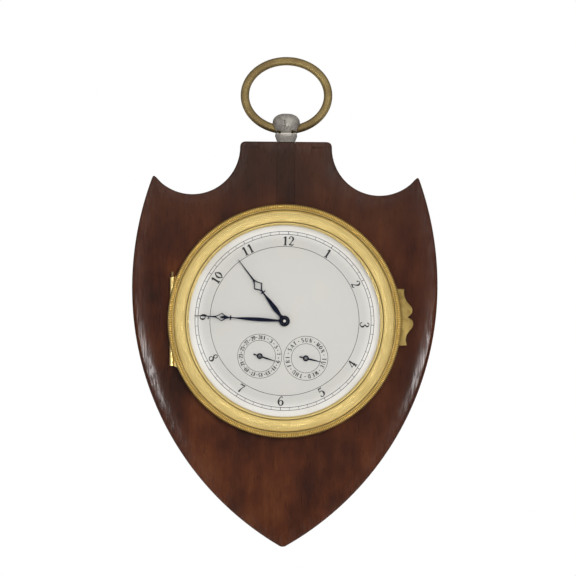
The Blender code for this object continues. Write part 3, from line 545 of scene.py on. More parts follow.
class Tree:
    """Nodes of one material or node group, added and linked by short calls."""

    def __init__(self, tree: bpy.types.NodeTree) -> None:
        """Work on this node tree."""
        self.tree = tree

    def feed(self, node: bpy.types.Node, sockets: dict) -> None:
        """Give a node its inputs.

        Args:
            node: the node.
            sockets: values by name of the input, a socket of another node being linked.
        """
        for key, value in sockets.items():
            if isinstance(value, Socket):
                self.tree.links.new(value, node.inputs[key])
            else:
                node.inputs[key].default_value = value

    def add(self, kind: str, sockets: dict | None = None, **settings: object) -> bpy.types.Node:
        """Add a node.

        Args:
            kind: Blender's name of the node, without its prefix.
            sockets: its inputs, as for feed.
            settings: attributes of the node.

        Returns:
            The new node.
        """
        node = self.tree.nodes.new("ShaderNode" + kind)
        for key, value in settings.items():
            setattr(node, key, value)
        self.feed(node, sockets or {})
        return node

    def group(self, made: bpy.types.NodeTree, sockets: dict) -> Sockets:
        """The outputs of a shared effect, placed with its own values."""
        return self.add("Group", sockets, node_tree=made).outputs

    def axes(self, vector: object) -> Sockets:
        """The three parts of a vector."""
        return self.add("SeparateXYZ", {"Vector": vector}).outputs

    def math(self, operation: str, *values: object) -> Socket:
        """The result of a Math node on up to three values or sockets."""
        return self.add("Math", dict(enumerate(values)), operation=operation).outputs["Value"]

    def blend(self, first: object, share: float, second: object) -> Socket:
        """Two values added up, the first by its share of one and the second by the rest."""
        rest = self.math("MULTIPLY", second, 1.0 - share)
        return self.math("MULTIPLY_ADD", first, share, rest)

    def noise(self, vector: object, scale: float, detail: float = 4.0, rough: float = 0.55) -> Socket:
        """The value of a noise texture."""
        sockets = {"Vector": vector, "Scale": scale, "Detail": detail, "Roughness": rough}
        return self.add("TexNoise", sockets).outputs["Fac"]

    def stretch(self, vector: object, scale: Spot, lean: float = 0.0) -> Socket:
        """Places scaled along each axis, leaning to a side by an angle in degrees."""
        sockets = {"Vector": vector, "Scale": scale, "Rotation": (0.0, math.radians(lean), 0.0)}
        return self.add("Mapping", sockets).outputs["Vector"]

    def streaks(
        self, place: object, scale: Spot, lean: float = 0.0, detail: float = 3.0, rough: float = 0.55
    ) -> Socket:
        """A noise drawn out along the axes that are scaled least."""
        return self.noise(self.stretch(place, scale, lean), 1.0, detail, rough)

    def band(
        self, value: object, low: float, high: float, to_low: float = 0.0, to_high: float = 1.0
    ) -> Socket:
        """A value moved from one range to another, held at its ends and eased between them."""
        sockets = {"Value": value, "From Min": low, "From Max": high, "To Min": to_low, "To Max": to_high}
        return self.add("MapRange", sockets, interpolation_type="SMOOTHSTEP").outputs["Result"]

    def mix(self, factor: object, first: object, second: object) -> Socket:
        """A colour between two colours, each of them a socket, or red, green and blue."""
        low, high = ((*end, 1.0) if isinstance(end, tuple) else end for end in (first, second))
        return self.add("Mix", {0: factor, 6: low, 7: high}, data_type="RGBA", clamp_factor=True).outputs[2]

    def ramp(self, factor: object, stops: list[tuple[float, Spot]]) -> Socket:
        """A colour read from a row of stops.

        Args:
            factor: where the row is read.
            stops: place, and red, green and blue, of each stop.

        Returns:
            The colour.
        """
        node = self.add("ValToRGB", {"Fac": factor})
        steps = node.color_ramp.elements
        while len(steps) < len(stops):
            steps.new(1.0)
        for step, (place, colour) in zip(steps, stops):
            step.position = place
            step.color = (*colour, 1.0)
        return node.outputs["Color"]

    def bump(self, height: object, depth: float) -> Socket:
        """A normal from a height that runs from 0 to 1 over a depth in millimetres."""
        sockets = {"Height": height, "Distance": depth * MM, "Strength": 1.0}
        return self.add("Bump", sockets).outputs["Normal"]


class SharedEffects:
    """Node groups that several finishes use."""

    def __init__(self) -> None:
        """Build each effect once."""
        self.turning = self._turning()
        self.handling = self._handling()

    @staticmethod
    def _new(name: str, inputs: dict[str, str], outputs: list[str]) -> tuple[Tree, dict, bpy.types.Node]:
        """Start a group with its named sockets.

        Args:
            name: name of the group.
            inputs: kind of each input socket by name.
            outputs: names of the output sockets, which are values.

        Returns:
            The tree, its input sockets and its output node.
        """
        made = bpy.data.node_groups.new(name, "ShaderNodeTree")
        for label, kind in inputs.items():
            made.interface.new_socket(label, in_out="INPUT", socket_type="NodeSocket" + kind)
        for label in outputs:
            made.interface.new_socket(label, in_out="OUTPUT", socket_type="NodeSocketFloat")
        entry = made.nodes.new("NodeGroupInput")
        exit_node = made.nodes.new("NodeGroupOutput")
        return Tree(made), entry.outputs, exit_node

    def _turning(self) -> bpy.types.NodeTree:
        """Distance from the lathe's axis, and the angle round it.

        Returns:
            The group.
        """
        tree, entry, out = self._new("turning", {"Place": "Vector"}, ["Radius", "Angle"])
        parts = tree.axes(entry["Place"])
        x = parts["X"]
        z = parts["Z"]
        square = tree.math("ADD", tree.math("MULTIPLY", x, x), tree.math("MULTIPLY", z, z))
        tree.feed(out, {"Radius": tree.math("SQRT", square), "Angle": tree.math("ARCTAN2", z, x)})
        return tree.tree

    def _handling(self) -> bpy.types.NodeTree:
        """Broad tarnish, and fine scratches of years of use.

        Returns:
            The group.
        """
        inputs = {"Place": "Vector", "Size": "Float"}
        tree, entry, out = self._new("handling", inputs, ["Tarnish", "Scratches"])
        place = entry["Place"]
        broad = tree.add("TexNoise", {"Vector": place, "Scale": entry["Size"], "Detail": 5.0}).outputs["Fac"]
        lines = tree.band(tree.streaks(place, (9.0, 9.0, 0.7), 31.0, 2.0), 0.62, 0.72)
        crossing = tree.band(tree.streaks(place, (0.8, 8.0, 8.0), -22.0, 2.0), 0.63, 0.73)
        scratches = tree.math("MINIMUM", tree.math("ADD", lines, crossing), 1.0)
        tree.feed(out, {"Tarnish": tree.band(broad, 0.38, 0.68), "Scratches": scratches})
        return tree.tree


class Finishes:
    """Where finishes find the shared effects and the dial's centre."""

    effects: SharedEffects
    centre = Vector((0.0, 0.0, 0.0))

    @classmethod
    def start(cls, name: str) -> tuple[Material, Tree, Socket, bpy.types.Node]:
        """Start a material that counts places in millimetres from the dial's centre.

        Args:
            name: name of the material.

        Returns:
            The material, its tree, the vector of places and the Principled shader.
        """
        material = bpy.data.materials.new(name)
        material.use_nodes = True
        tree = Tree(material.node_tree)
        coordinates = tree.add("TexCoord").outputs["Object"]
        sockets = {"Vector": coordinates, "Scale": (1.0 / MM,) * 3, "Location": -cls.centre / MM}
        place = tree.add("Mapping", sockets).outputs["Vector"]
        return material, tree, place, material.node_tree.nodes["Principled BSDF"]


@dataclass(frozen=True)
class Mahogany:
    """Dark polished mahogany, mottled, with its grain running up the case, and painted shade towards its
    right side.
    """

    name: str
    lean: float = 3.0
    lift: float = 1.0
    warp: float = 16.0
    shades: tuple[tuple[float, Spot], ...] = (
        (0.34, (0.026, 0.0092, 0.0060)),
        (0.45, (0.047, 0.0136, 0.0064)),
        (0.54, (0.071, 0.0196, 0.0078)),
        (0.68, (0.112, 0.0345, 0.0124)),
    )
    upper_shade: Spot = (0.031, 0.0182, 0.0142)
    # Painted shade: the darker colour that the wood's right side is blended towards
    right_shade: Spot = (0.030, 0.0085, 0.0045)
    pore_shade: Spot = (0.010, 0.005, 0.004)
    pore_depth: float = 0.03
    gleam: float = 0.05
    polish_roughness: float = 0.16

    def figure(self, tree: Tree, place: Socket) -> Socket:
        """The wood's figure: streaks and ribbons along a bent grain, under a broad mottle.

        Args:
            tree: nodes of the material.
            place: places in millimetres from the dial's centre.

        Returns:
            A value that is low where the wood is dark.
        """
        grain = tree.stretch(place, (1.0, 0.6, 0.07), self.lean)
        aside = tree.math("MULTIPLY", tree.streaks(place, (0.02, 0.02, 0.012)), self.warp)
        bend = tree.add("CombineXYZ", {"X": aside}).outputs["Vector"]
        bent = tree.add("VectorMath", {0: grain, 1: bend}, operation="ADD").outputs["Vector"]
        streaks = tree.noise(bent, 0.16, 6.0, 0.62)
        ribbon = tree.noise(tree.stretch(bent, (0.35, 0.35, 1.6)), 0.22, 3.0)
        fine = tree.noise(tree.stretch(bent, (4.0, 4.0, 1.0)), 0.55, 5.0, 0.7)
        mottle = tree.streaks(place, (0.055, 0.05, 0.032), 28.0, 5.0, 0.6)
        lines = tree.blend(tree.blend(streaks, 0.58, ribbon), 0.8, fine)
        return tree.math("MULTIPLY_ADD", tree.blend(lines, 0.42, mottle), 1.25, -0.12)

    def material(self) -> Material:
        """Build the material.

        Returns:
            The material.
        """
        material, tree, place, shader = Finishes.start(self.name)
        stops = [(at, tuple(part * self.lift for part in shade)) for at, shade in self.shades]
        wood = tree.ramp(self.figure(tree, place), stops)
        sides = tree.axes(place)
        wood = tree.mix(tree.band(sides["Z"], 20.0, 75.0, 0.0, 0.72), wood, self.upper_shade)
        # Painted shade: the wood is blended darker towards the right side of the case
        wood = tree.mix(tree.band(sides["X"], 25.0, 66.0, 0.0, 0.5), wood, self.right_shade)
        pores = tree.band(tree.streaks(place, (3.2, 3.2, 0.16), self.lean, 2.0), 0.60, 0.70)
        smudge = tree.band(tree.streaks(place, (0.03, 0.03, 0.03), detail=4.0), 0.35, 0.7, 0.30, 0.42)
        polish = tree.streaks(place, (1.5, 1.5, 0.16), self.lean)
        sockets = {
            "Base Color": tree.mix(tree.math("MULTIPLY", pores, 0.55), wood, self.pore_shade),
            "Roughness": tree.math("ADD", smudge, tree.math("MULTIPLY", pores, 0.18)),
            "Normal": tree.bump(tree.math("SUBTRACT", 1.0, pores), self.pore_depth),
            "Specular IOR Level": self.gleam,
            "Coat Weight": tree.band(polish, 0.42, 0.64, 0.08, 0.5),
            "Coat Roughness": self.polish_roughness,
        }
        tree.feed(shader, sockets)
        return material


@dataclass(frozen=True)
class Metal:
    """A worked and handled metal; some finishes carry painted shade in reeds and grooves, and painted light
    on the pendant's collar.
    """

    name: str
    colour: Spot
    tarnish: Spot
    roughness: float = 0.3
    aged: float = 0.35
    pattern: Pattern = Pattern.PLAIN
    patch_size: float = 0.09
    metallic: float = 1.0
    scratch_depth: float = 0.012
    speckle_depth: float = 0.07
    brush_depth: float = 0.02
    corn_depth: float = 0.15
    corns: float = 210.0
    corn_sweep: float = 4.2
    # Painted light: the pale silver that the lower part of the speckled silver is lifted towards
    rubbed: Spot = (0.80, 0.76, 0.69)
    # Painted shade: the dark gold that the reeds' hollows are painted towards
    hollow: Spot = (0.21, 0.145, 0.055)
    # Painted shade: dark brown lines at the channel by the rim, the step inside the band and the lip's inner
    # edge, each a radius and a half width in millimetres
    grime: Spot = (0.075, 0.052, 0.016)
    grimy_lines: tuple[Point, ...] = ((50.2, 0.36), (44.66, 0.2), (43.68, 0.13))

    def material(self) -> Material:
        """Build the material.

        Returns:
            The material.
        """
        material, tree, place, shader = Finishes.start(self.name)
        handling = tree.group(Finishes.effects.handling, {"Place": place, "Size": self.patch_size})
        aged = tree.math("MULTIPLY", handling["Tarnish"], self.aged)
        colour = tree.mix(aged, self.colour, self.tarnish)
        scratches = handling["Scratches"]
        height = tree.math("MULTIPLY", scratches, -1.0)
        depth = self.scratch_depth
        if self.pattern is Pattern.SPECKLED:
            specks = tree.band(tree.noise(place, 1.5, 5.0, 0.75), 0.47, 0.66, 0.0, 0.75)
            colour = tree.mix(specks, colour, self.tarnish)
            # Painted light: below 85.2 mm up the case the speckled silver is blended towards pale silver,
            # lifting the pendant's collar out of the shade under its dome and lighting the arbor's end
            neck = tree.band(tree.axes(place)["Z"], 85.9, 85.2, 0.0, 0.75)
            colour = tree.mix(neck, colour, self.rubbed)
            height = tree.math("ADD", height, tree.noise(place, 2.2, 4.0, 0.65))
            depth = self.speckle_depth
        elif self.pattern is Pattern.CIRCULAR:
            turning = tree.group(Finishes.effects.turning, {"Place": place})
            rings = tree.add("CombineXYZ", {"X": turning["Radius"]}).outputs["Vector"]
            brushed = tree.noise(rings, 5.0, 3.0, 0.7)
            colour = tree.mix(tree.band(brushed, 0.45, 0.75, 0.0, 0.25), colour, self.tarnish)
            height = tree.math("ADD", height, brushed)
            depth = self.brush_depth
        elif self.pattern is Pattern.REEDED:
            turning = tree.group(Finishes.effects.turning, {"Place": place})
            wave = tree.math("COSINE", tree.math("MULTIPLY", turning["Angle"], REEDS))
            # Painted shade: the colour darkens in each reed's hollow, where the reeds shade each other
            colour = tree.mix(tree.math("MULTIPLY_ADD", wave, -0.29, 0.29), colour, self.hollow)
        elif self.pattern is Pattern.ENGINE_TURNED:
            turning = tree.group(Finishes.effects.turning, {"Place": place})
            corn = self.barleycorns(tree, turning)
            colour = tree.mix(tree.math("MULTIPLY", corn, 0.6), colour, self.tarnish)
            # Painted shade: dark lines where the bezel's channel and steps fall into shade
            for middle, half in self.grimy_lines:
                away = tree.math("ABSOLUTE", tree.math("SUBTRACT", turning["Radius"], middle))
                colour = tree.mix(tree.band(away, half, half * 0.35, 0.0, 0.85), colour, self.grime)
            height = tree.math("MULTIPLY_ADD", corn, -1.0, height)
            depth = self.corn_depth
        worn = tree.math("ADD", tree.math("MULTIPLY", aged, 0.25), self.roughness)
        sockets = {
            "Base Color": colour,
            "Roughness": tree.math("ADD", worn, tree.math("MULTIPLY", scratches, 0.08)),
            "Normal": tree.bump(height, depth),
            "Metallic": self.metallic,
        }
        tree.feed(shader, sockets)
        return material

    def barleycorns(self, tree: Tree, turning: Sockets) -> Socket:
        """Crossing waves cut on the band of the bezel.

        Args:
            tree: nodes of the material.
            turning: distance from the dial's axis and the angle round it.

        Returns:
            A value that is high in the cuts, and 0 beside the band.
        """
        radius = turning["Radius"]
        round_turn = tree.math("MULTIPLY", turning["Angle"], self.corns)
        sweep = tree.math("MULTIPLY", radius, self.corn_sweep)
        rising = tree.math("SINE", tree.math("ADD", round_turn, sweep))
        falling = tree.math("SINE", tree.math("SUBTRACT", round_turn, sweep))
        corn = tree.math("MULTIPLY_ADD", tree.math("MULTIPLY", rising, falling), 0.5, 0.5)
        on_band = tree.math("MULTIPLY", tree.band(radius, 44.6, 44.9), tree.band(radius, 49.4, 49.0))
        return tree.math("MULTIPLY", corn, on_band)


@dataclass(frozen=True)
class Silvering:
    """The grained silvering of the dial, whiter outside the figures, with a few brown specks. The whiter
    margin is partly painted light that lifts the shade under the bezel's lip.
    """

    name: str
    inner: Spot = (0.61, 0.60, 0.565)
    margin: Spot = (0.88, 0.87, 0.84)
    clouded: Spot = (0.66, 0.635, 0.58)
    foxed: Spot = (0.36, 0.25, 0.14)
    metallic: float = 0.15
    grain_depth: float = 0.01

    def material(self) -> Material:
        """Build the material.

        Returns:
            The material.
        """
        material, tree, place, shader = Finishes.start(self.name)
        radius = tree.group(Finishes.effects.turning, {"Place": place})["Radius"]
        # Partly painted light: the margin is painted whiter to lift the shade that the bezel's lip throws on
        # it
        colour = tree.mix(tree.band(radius, 35.5, 42.5), self.inner, self.margin)
        cloud = tree.streaks(place, (0.05, 0.05, 0.05))
        colour = tree.mix(tree.band(cloud, 0.45, 0.75, 0.0, 0.5), colour, self.clouded)
        spots = tree.add("TexVoronoi", {"Vector": place, "Scale": 0.085, "Randomness": 1.0})
        fox = tree.band(spots.outputs["Distance"], 0.035, 0.012, 0.0, 0.55)
        sockets = {
            "Base Color": tree.mix(fox, colour, self.foxed),
            "Roughness": tree.band(cloud, 0.3, 0.7, 0.46, 0.58),
            "Normal": tree.bump(tree.noise(place, 7.0, 3.0, 0.7), self.grain_depth),
            "Metallic": self.metallic,
        }
        tree.feed(shader, sockets)
        return material


@dataclass(frozen=True)
class Ink:
    """Black wax in the engraved lines and figures, a little worn."""

    name: str
    black: Spot = (0.012, 0.011, 0.011)
    faded: Spot = (0.20, 0.19, 0.17)

    def material(self) -> Material:
        """Build the material.

        Returns:
            The material.
        """
        material, tree, place, shader = Finishes.start(self.name)
        worn = tree.noise(place, 0.9, 4.0, 0.65)
        colour = tree.mix(tree.band(worn, 0.6, 0.78, 0.0, 0.5), self.black, self.faded)
        tree.feed(shader, {"Base Color": colour, "Roughness": tree.band(worn, 0.3, 0.7, 0.5, 0.7)})
        return material


@dataclass(frozen=True)
class ClearGlass:
    """The thin domed glass over the dial."""

    name: str
    tint: Spot = (0.02, 0.022, 0.022)
    alpha: float = 0.04
    ior: float = 1.5

    def material(self) -> Material:
        """Build the material.

        Returns:
            The material.
        """
        material, tree, place, shader = Finishes.start(self.name)
        dust = tree.band(tree.noise(place, 0.12, 5.0, 0.6), 0.4, 0.8, 0.14, 0.22)
        sockets = {"Roughness": dust, "Base Color": (*self.tint, 1.0), "Alpha": self.alpha, "IOR": self.ior}
        tree.feed(shader, sockets)
        return material


class Workshop:
    """Every finish of the clock, made once, and the step that puts a finished piece on its body."""

    def __init__(self, frame: dict) -> None:
        """Make the finishes.

        Args:
            frame: the loaded frame.
        """
        Finishes.effects = SharedEffects()
        gold = (0.93, 0.72, 0.30)
        old_gold = (0.60, 0.43, 0.14)
        dull_gold = (0.31, 0.22, 0.072)
        old_brass = (0.31, 0.228, 0.09)
        grey_silver = (0.43, 0.40, 0.355)
        finishes = {
            "mahogany": Mahogany("mahogany"),
            "fillet_wood": Mahogany("fillet_mahogany", 0.5, 0.75),
            "gilt": Metal("gilt", gold, old_gold),
            "engine_turned": Metal("engine_turned_gilt", gold, old_gold, 0.32, 0.3, Pattern.ENGINE_TURNED),
            # Painted shade: the thumb-piece's gilt is a darker copy of the bezel's gilt, and its broad brown
            # patches are tarnish and painted dark reflection
            "gilt_tarnish_and_painted_shade": Metal("gilt_tarnish_and_painted_shade", dull_gold, (0.15, 0.09, 0.024), 0.34, 0.6, patch_size=0.3),
            "reeded_gilt": Metal("reeded_gilt", gold, old_gold, 0.3, 0.3, Pattern.REEDED),
            "turned_gilt": Metal("turned_gilt", gold, old_gold, 0.28, 0.3, Pattern.CIRCULAR),
            "brass": Metal("fine_brass", (0.80, 0.60, 0.27), (0.40, 0.27, 0.09)),
            "antique_brass": Metal(
                "antique_brass", old_brass, (0.15, 0.096, 0.042), 0.38, 0.6, patch_size=0.08, metallic=0.8
            ),
            "silver": Metal(
                "speckled_silver", grey_silver, (0.12, 0.11, 0.096), 0.42, 0.5, Pattern.SPECKLED, 0.3, 0.6
            ),
            "silvered_dial": Silvering("silvered_dial"),
            "ink": Ink("dial_ink"),
            "blued_steel": Metal("blued_steel", (0.018, 0.022, 0.046), (0.008, 0.009, 0.016), 0.26),
            "steel": Metal("polished_steel", (0.52, 0.52, 0.53), (0.30, 0.29, 0.28), 0.24),
            "spring_steel": Metal("spring_steel", (0.10, 0.13, 0.24), (0.06, 0.07, 0.12), 0.28),
            "glass": ClearGlass("clear_glass"),
        }
        self.materials = {key: finish.material() for key, finish in finishes.items()}
        self.frame = frame
        groups = frame["record"]["behaviour"]["bodies"]
        self.body_of = {node: body for body, nodes in groups.items() for node in nodes}
        self.slot_of = {row["node"]: row["material_slot"] for row in frame["record"]["subparts"]}

    def seat(self, piece: Piece, node: str, finish: str, stands_for: bool = True) -> None:
        """Dress a finished piece and set it on the body of a CAD node.

        Args:
            piece: the finished piece, upright.
            node: the node that it belongs to.
            finish: name of its finish.
            stands_for: whether the node itself is hidden behind it.
        """
        body = self.body_of[node]
        piece.data.materials.clear()
        piece.data.materials.append(self.materials[finish])
        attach(piece, body)
        if stands_for:
            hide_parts(node)
        LOG.info("%s rides on %s, finish %s, %d faces", piece.name, body, finish, len(piece.data.polygons))


# The clock's sub-assemblies


@dataclass
class Assembly:
    """A group of pieces that are modelled together, and the workshop that finishes and seats them."""

    shop: Workshop


@dataclass
class ShieldCase(Assembly):
    """The shield of mahogany and the fillet let into its neck."""

    depth: float = 36.0
    half_width: float = 69.2
    widest_y: float = 15.4
    lower_radius: float = 135.5
    upper_radius: float = 143.0
    scoop_centre: Point = (42.4, 78.7)
    scoop_radius: float = 21.6
    top_y: float = 81.2
    edge: float = 1.4
    corner: float = 1.9
    crown: float = 9.0
    fall: float = 0.9
    bore: float = 46.6
    bore_sides: int = 160
    channel_half: float = 4.1
    fillet_half: float = 4.0

    def outline(self, inset: float) -> Loop:
        """The shield's outline, its corners a little rounded.

        Args:
            inset: how far it lies inside the widest outline.

        Returns:
            The right side from the lower tip to the neck, then its mirror image.
        """
        reach = max(0.3, self.corner - 0.8 * inset)
        lower_radius = self.lower_radius - inset
        upper_radius = self.upper_radius - inset
        scoop_radius = self.scoop_radius + inset
        lower = (self.half_width - self.lower_radius, self.widest_y)
        upper = Vector((self.half_width - self.upper_radius, self.widest_y))
        scoop = Vector(self.scoop_centre)
        top = self.top_y - inset

        tip_angle = -math.degrees(math.acos(-lower[0] / lower_radius))
        tip = polar(lower_radius, tip_angle, lower)
        flank = arc(lower, lower_radius, tip_angle + math.degrees(reach / lower_radius), 0.0, 40)

        apart = scoop - upper
        along = (apart.length_squared + upper_radius**2 - scoop_radius**2) / (2.0 * apart.length)
        aside = math.sqrt(upper_radius**2 - along**2)
        across = Vector((apart.y, -apart.x)).normalized()
        shoulder = upper + apart.normalized() * along + across * aside
        upper_end = math.degrees(math.atan2(shoulder.y - upper.y, shoulder.x - upper.x))
        rise = arc(tuple(upper), upper_radius, 0.0, upper_end - math.degrees(reach / upper_radius), 16)
        start = math.degrees(math.atan2(shoulder.y - scoop.y, shoulder.x - scoop.x))
        hollow = arc(tuple(scoop), scoop_radius, start - math.degrees(reach / scoop_radius), -180.0, 40)

        side = hollow[-1][0]
        toe = rounded((-flank[0][0], flank[0][1]), tip, flank[0], 8)[4:-1]
        half = [*toe, *flank, *rise[1:], *rounded(rise[-1], tuple(shoulder), hollow[0], 6)[1:-1], *hollow]
        half += rounded((side, top - 1.4 * reach), (side, top), (side - 1.4 * reach, top), 6)
        return mirrored(half)

    def front(self, inset: float) -> float:
        """Height of the front, which falls a little from its crown to its edge."""
        return self.depth - self.fall * (1.0 - inset / self.crown) ** 2

    def levels(self) -> list[tuple[Loop, float]]:
        """Outlines from the back to the front, with rounded edges.

        Returns:
            Each outline and its height.
        """
        quarter = [math.radians(18.0 * i) for i in range(6)]
        rows = [(self.edge * (1.0 - math.sin(a)), self.edge * (1.0 - math.cos(a))) for a in quarter]
        rows += [(inset, self.front(self.edge) - rise) for inset, rise in reversed(rows)]
        rows += [(inset, self.front(inset)) for inset in (2.5, 4.0, 6.0, self.crown)]
        return [(self.outline(inset), height) for inset, height in rows]

    def build(self) -> None:
        """Model the wood, bore it and let the fillet in."""
        wood = Bench.lofted("shield_wood", self.levels())
        steps = [(0.0, -3.0), (43.4, -3.0), (43.4, 2.8), (40.5, 2.8), (40.5, 7.5)]
        steps += [(self.bore, 7.5), (self.bore, 44.0), (0.0, 44.0)]
        bore = Bench.turned("wood_bore", steps, self.bore_sides)
        channel = Bench.box((-self.channel_half, 40.0, 14.6), (self.channel_half, 90.0, 44.0))
        Bench.cut(wood, bore, channel)
        Bench.soften(wood)
        Bench.flatten(wood)
        self.shop.seat(Bench.stand(wood), "shield_body", "mahogany")

        top = (self.fillet_half, self.top_y - 0.1, self.depth + 5.0)
        strip = Bench.box((-self.fillet_half, 40.0, 20.8), top)
        strip.name = "fillet_strip"
        Bench.combine(strip, Fit.SHARED, Bench.lofted("uncut_shield", self.levels()))
        Bench.cut(strip, Bench.cylinder(self.bore + 0.3, 40.0, (0.0, 0.0, 25.0), sides=self.bore_sides))
        Bench.soften(strip)
        self.shop.seat(Bench.stand(strip), "neck_fillet", "fillet_wood")


@dataclass
class PendantAndBow(Assembly):
    """The silvered pendant and the wire bow that swings in it."""

    base: float = 81.5
    eye_y: float = 86.9
    eye_radius: float = 2.9
    stem_bore: float = 2.4
    depth: float = 18.0
    wire: float = 1.93
    half_width: float = 18.95
    half_height: float = 15.65
    pits: tuple[tuple[float, float, float, float], ...] = (
        (-0.8, 9.4, 0.3, 3.6),
        (-0.55, 8.3, 0.36, 3.6),
        (-0.7, 7.2, 0.32, 3.6),
        (-3.9, 4.6, 0.5, 1.0),
        (-3.0, 4.3, 0.7, 1.0),
        (2.9, 4.5, 0.75, 1.0),
        (3.9, 4.6, 0.5, 1.0),
    )

    def build(self) -> None:
        """Model the pendant and the bow."""
        dome = [(0.0, 12.85), (2.4, 12.65), (4.3, 11.9), (5.4, 10.95), (6.05, 9.8), (6.22, 8.7)]
        waist = [(6.22, 8.7), (6.2, 7.6), (5.9, 6.2), (5.6, 5.1), (5.4, 4.5), (5.0, 4.15)]
        collar = [(5.0, 4.15), (5.4, 3.75), (5.25, 3.0), (4.9, 2.0), (4.55, 1.1), (4.3, 0.5), (4.2, 0.0)]
        profile = [*smooth(dome, 5), *joined(waist, collar, 4)[1:], (0.0, 0.0)]
        pendant = Bench.turned("silver_pendant", profile, 80)
        upwards = Matrix.Rotation(-QUARTER_TURN, 4, "X")
        pendant.matrix_world = Matrix.Translation((0.0, self.base * MM, self.depth * MM)) @ upwards
        Bench.settle(pendant)
        eye = Bench.cylinder(self.eye_radius, 20.0, (0.0, self.eye_y, self.depth), Along.X)
        socket = Bench.cylinder(self.stem_bore, 6.5, (0.0, 82.25, self.depth), Along.Y, 32)
        Bench.cut(pendant, eye, socket)
        for x, height, radius, floor in self.pits:
            middle = (x, self.base + height, self.depth + floor + 3.0)
            Bench.cut(pendant, Bench.cylinder(radius, 6.0, middle, sides=16))
        Bench.soften(pendant, angle=40.0)
        self.shop.seat(Bench.stand(pendant), "pendant", "silver")
        self.bow()

    def bow(self) -> None:
        """Bend the bow from a round wire."""
        Bench.pick()
        bpy.ops.curve.primitive_bezier_circle_add(radius=1.0)
        bow = bpy.context.object
        bow.name = "brass_bow"
        oval = Matrix.Diagonal((self.half_width * MM, self.half_height * MM, MM)).to_4x4()
        middle = (0.0, (self.eye_y + self.half_height) * MM, self.depth * MM)
        bow.data.transform(Matrix.Translation(middle) @ oval)
        for knot in bow.data.splines[0].bezier_points:
            knot.radius = 1.0
        bow.data.resolution_u = 32
        bow.data.bevel_depth = self.wire * MM
        bow.data.bevel_resolution = 7
        Bench.as_mesh(bow)
        Bench.soften(bow, angle=60.0)
        self.shop.seat(Bench.stand(bow), "bow", "antique_brass")


@dataclass(frozen=True)
class HingeLine:
    """The upright axis of a hinge."""

    x: float
    z: float

    def bar(self, radius: float, low: float, high: float, sides: int) -> Piece:
        """A round bar on the axis between two heights, for a knuckle, a pin or a bore."""
        return Bench.cylinder(radius, high - low, (self.x, (low + high) / 2.0, self.z), Along.Y, sides)


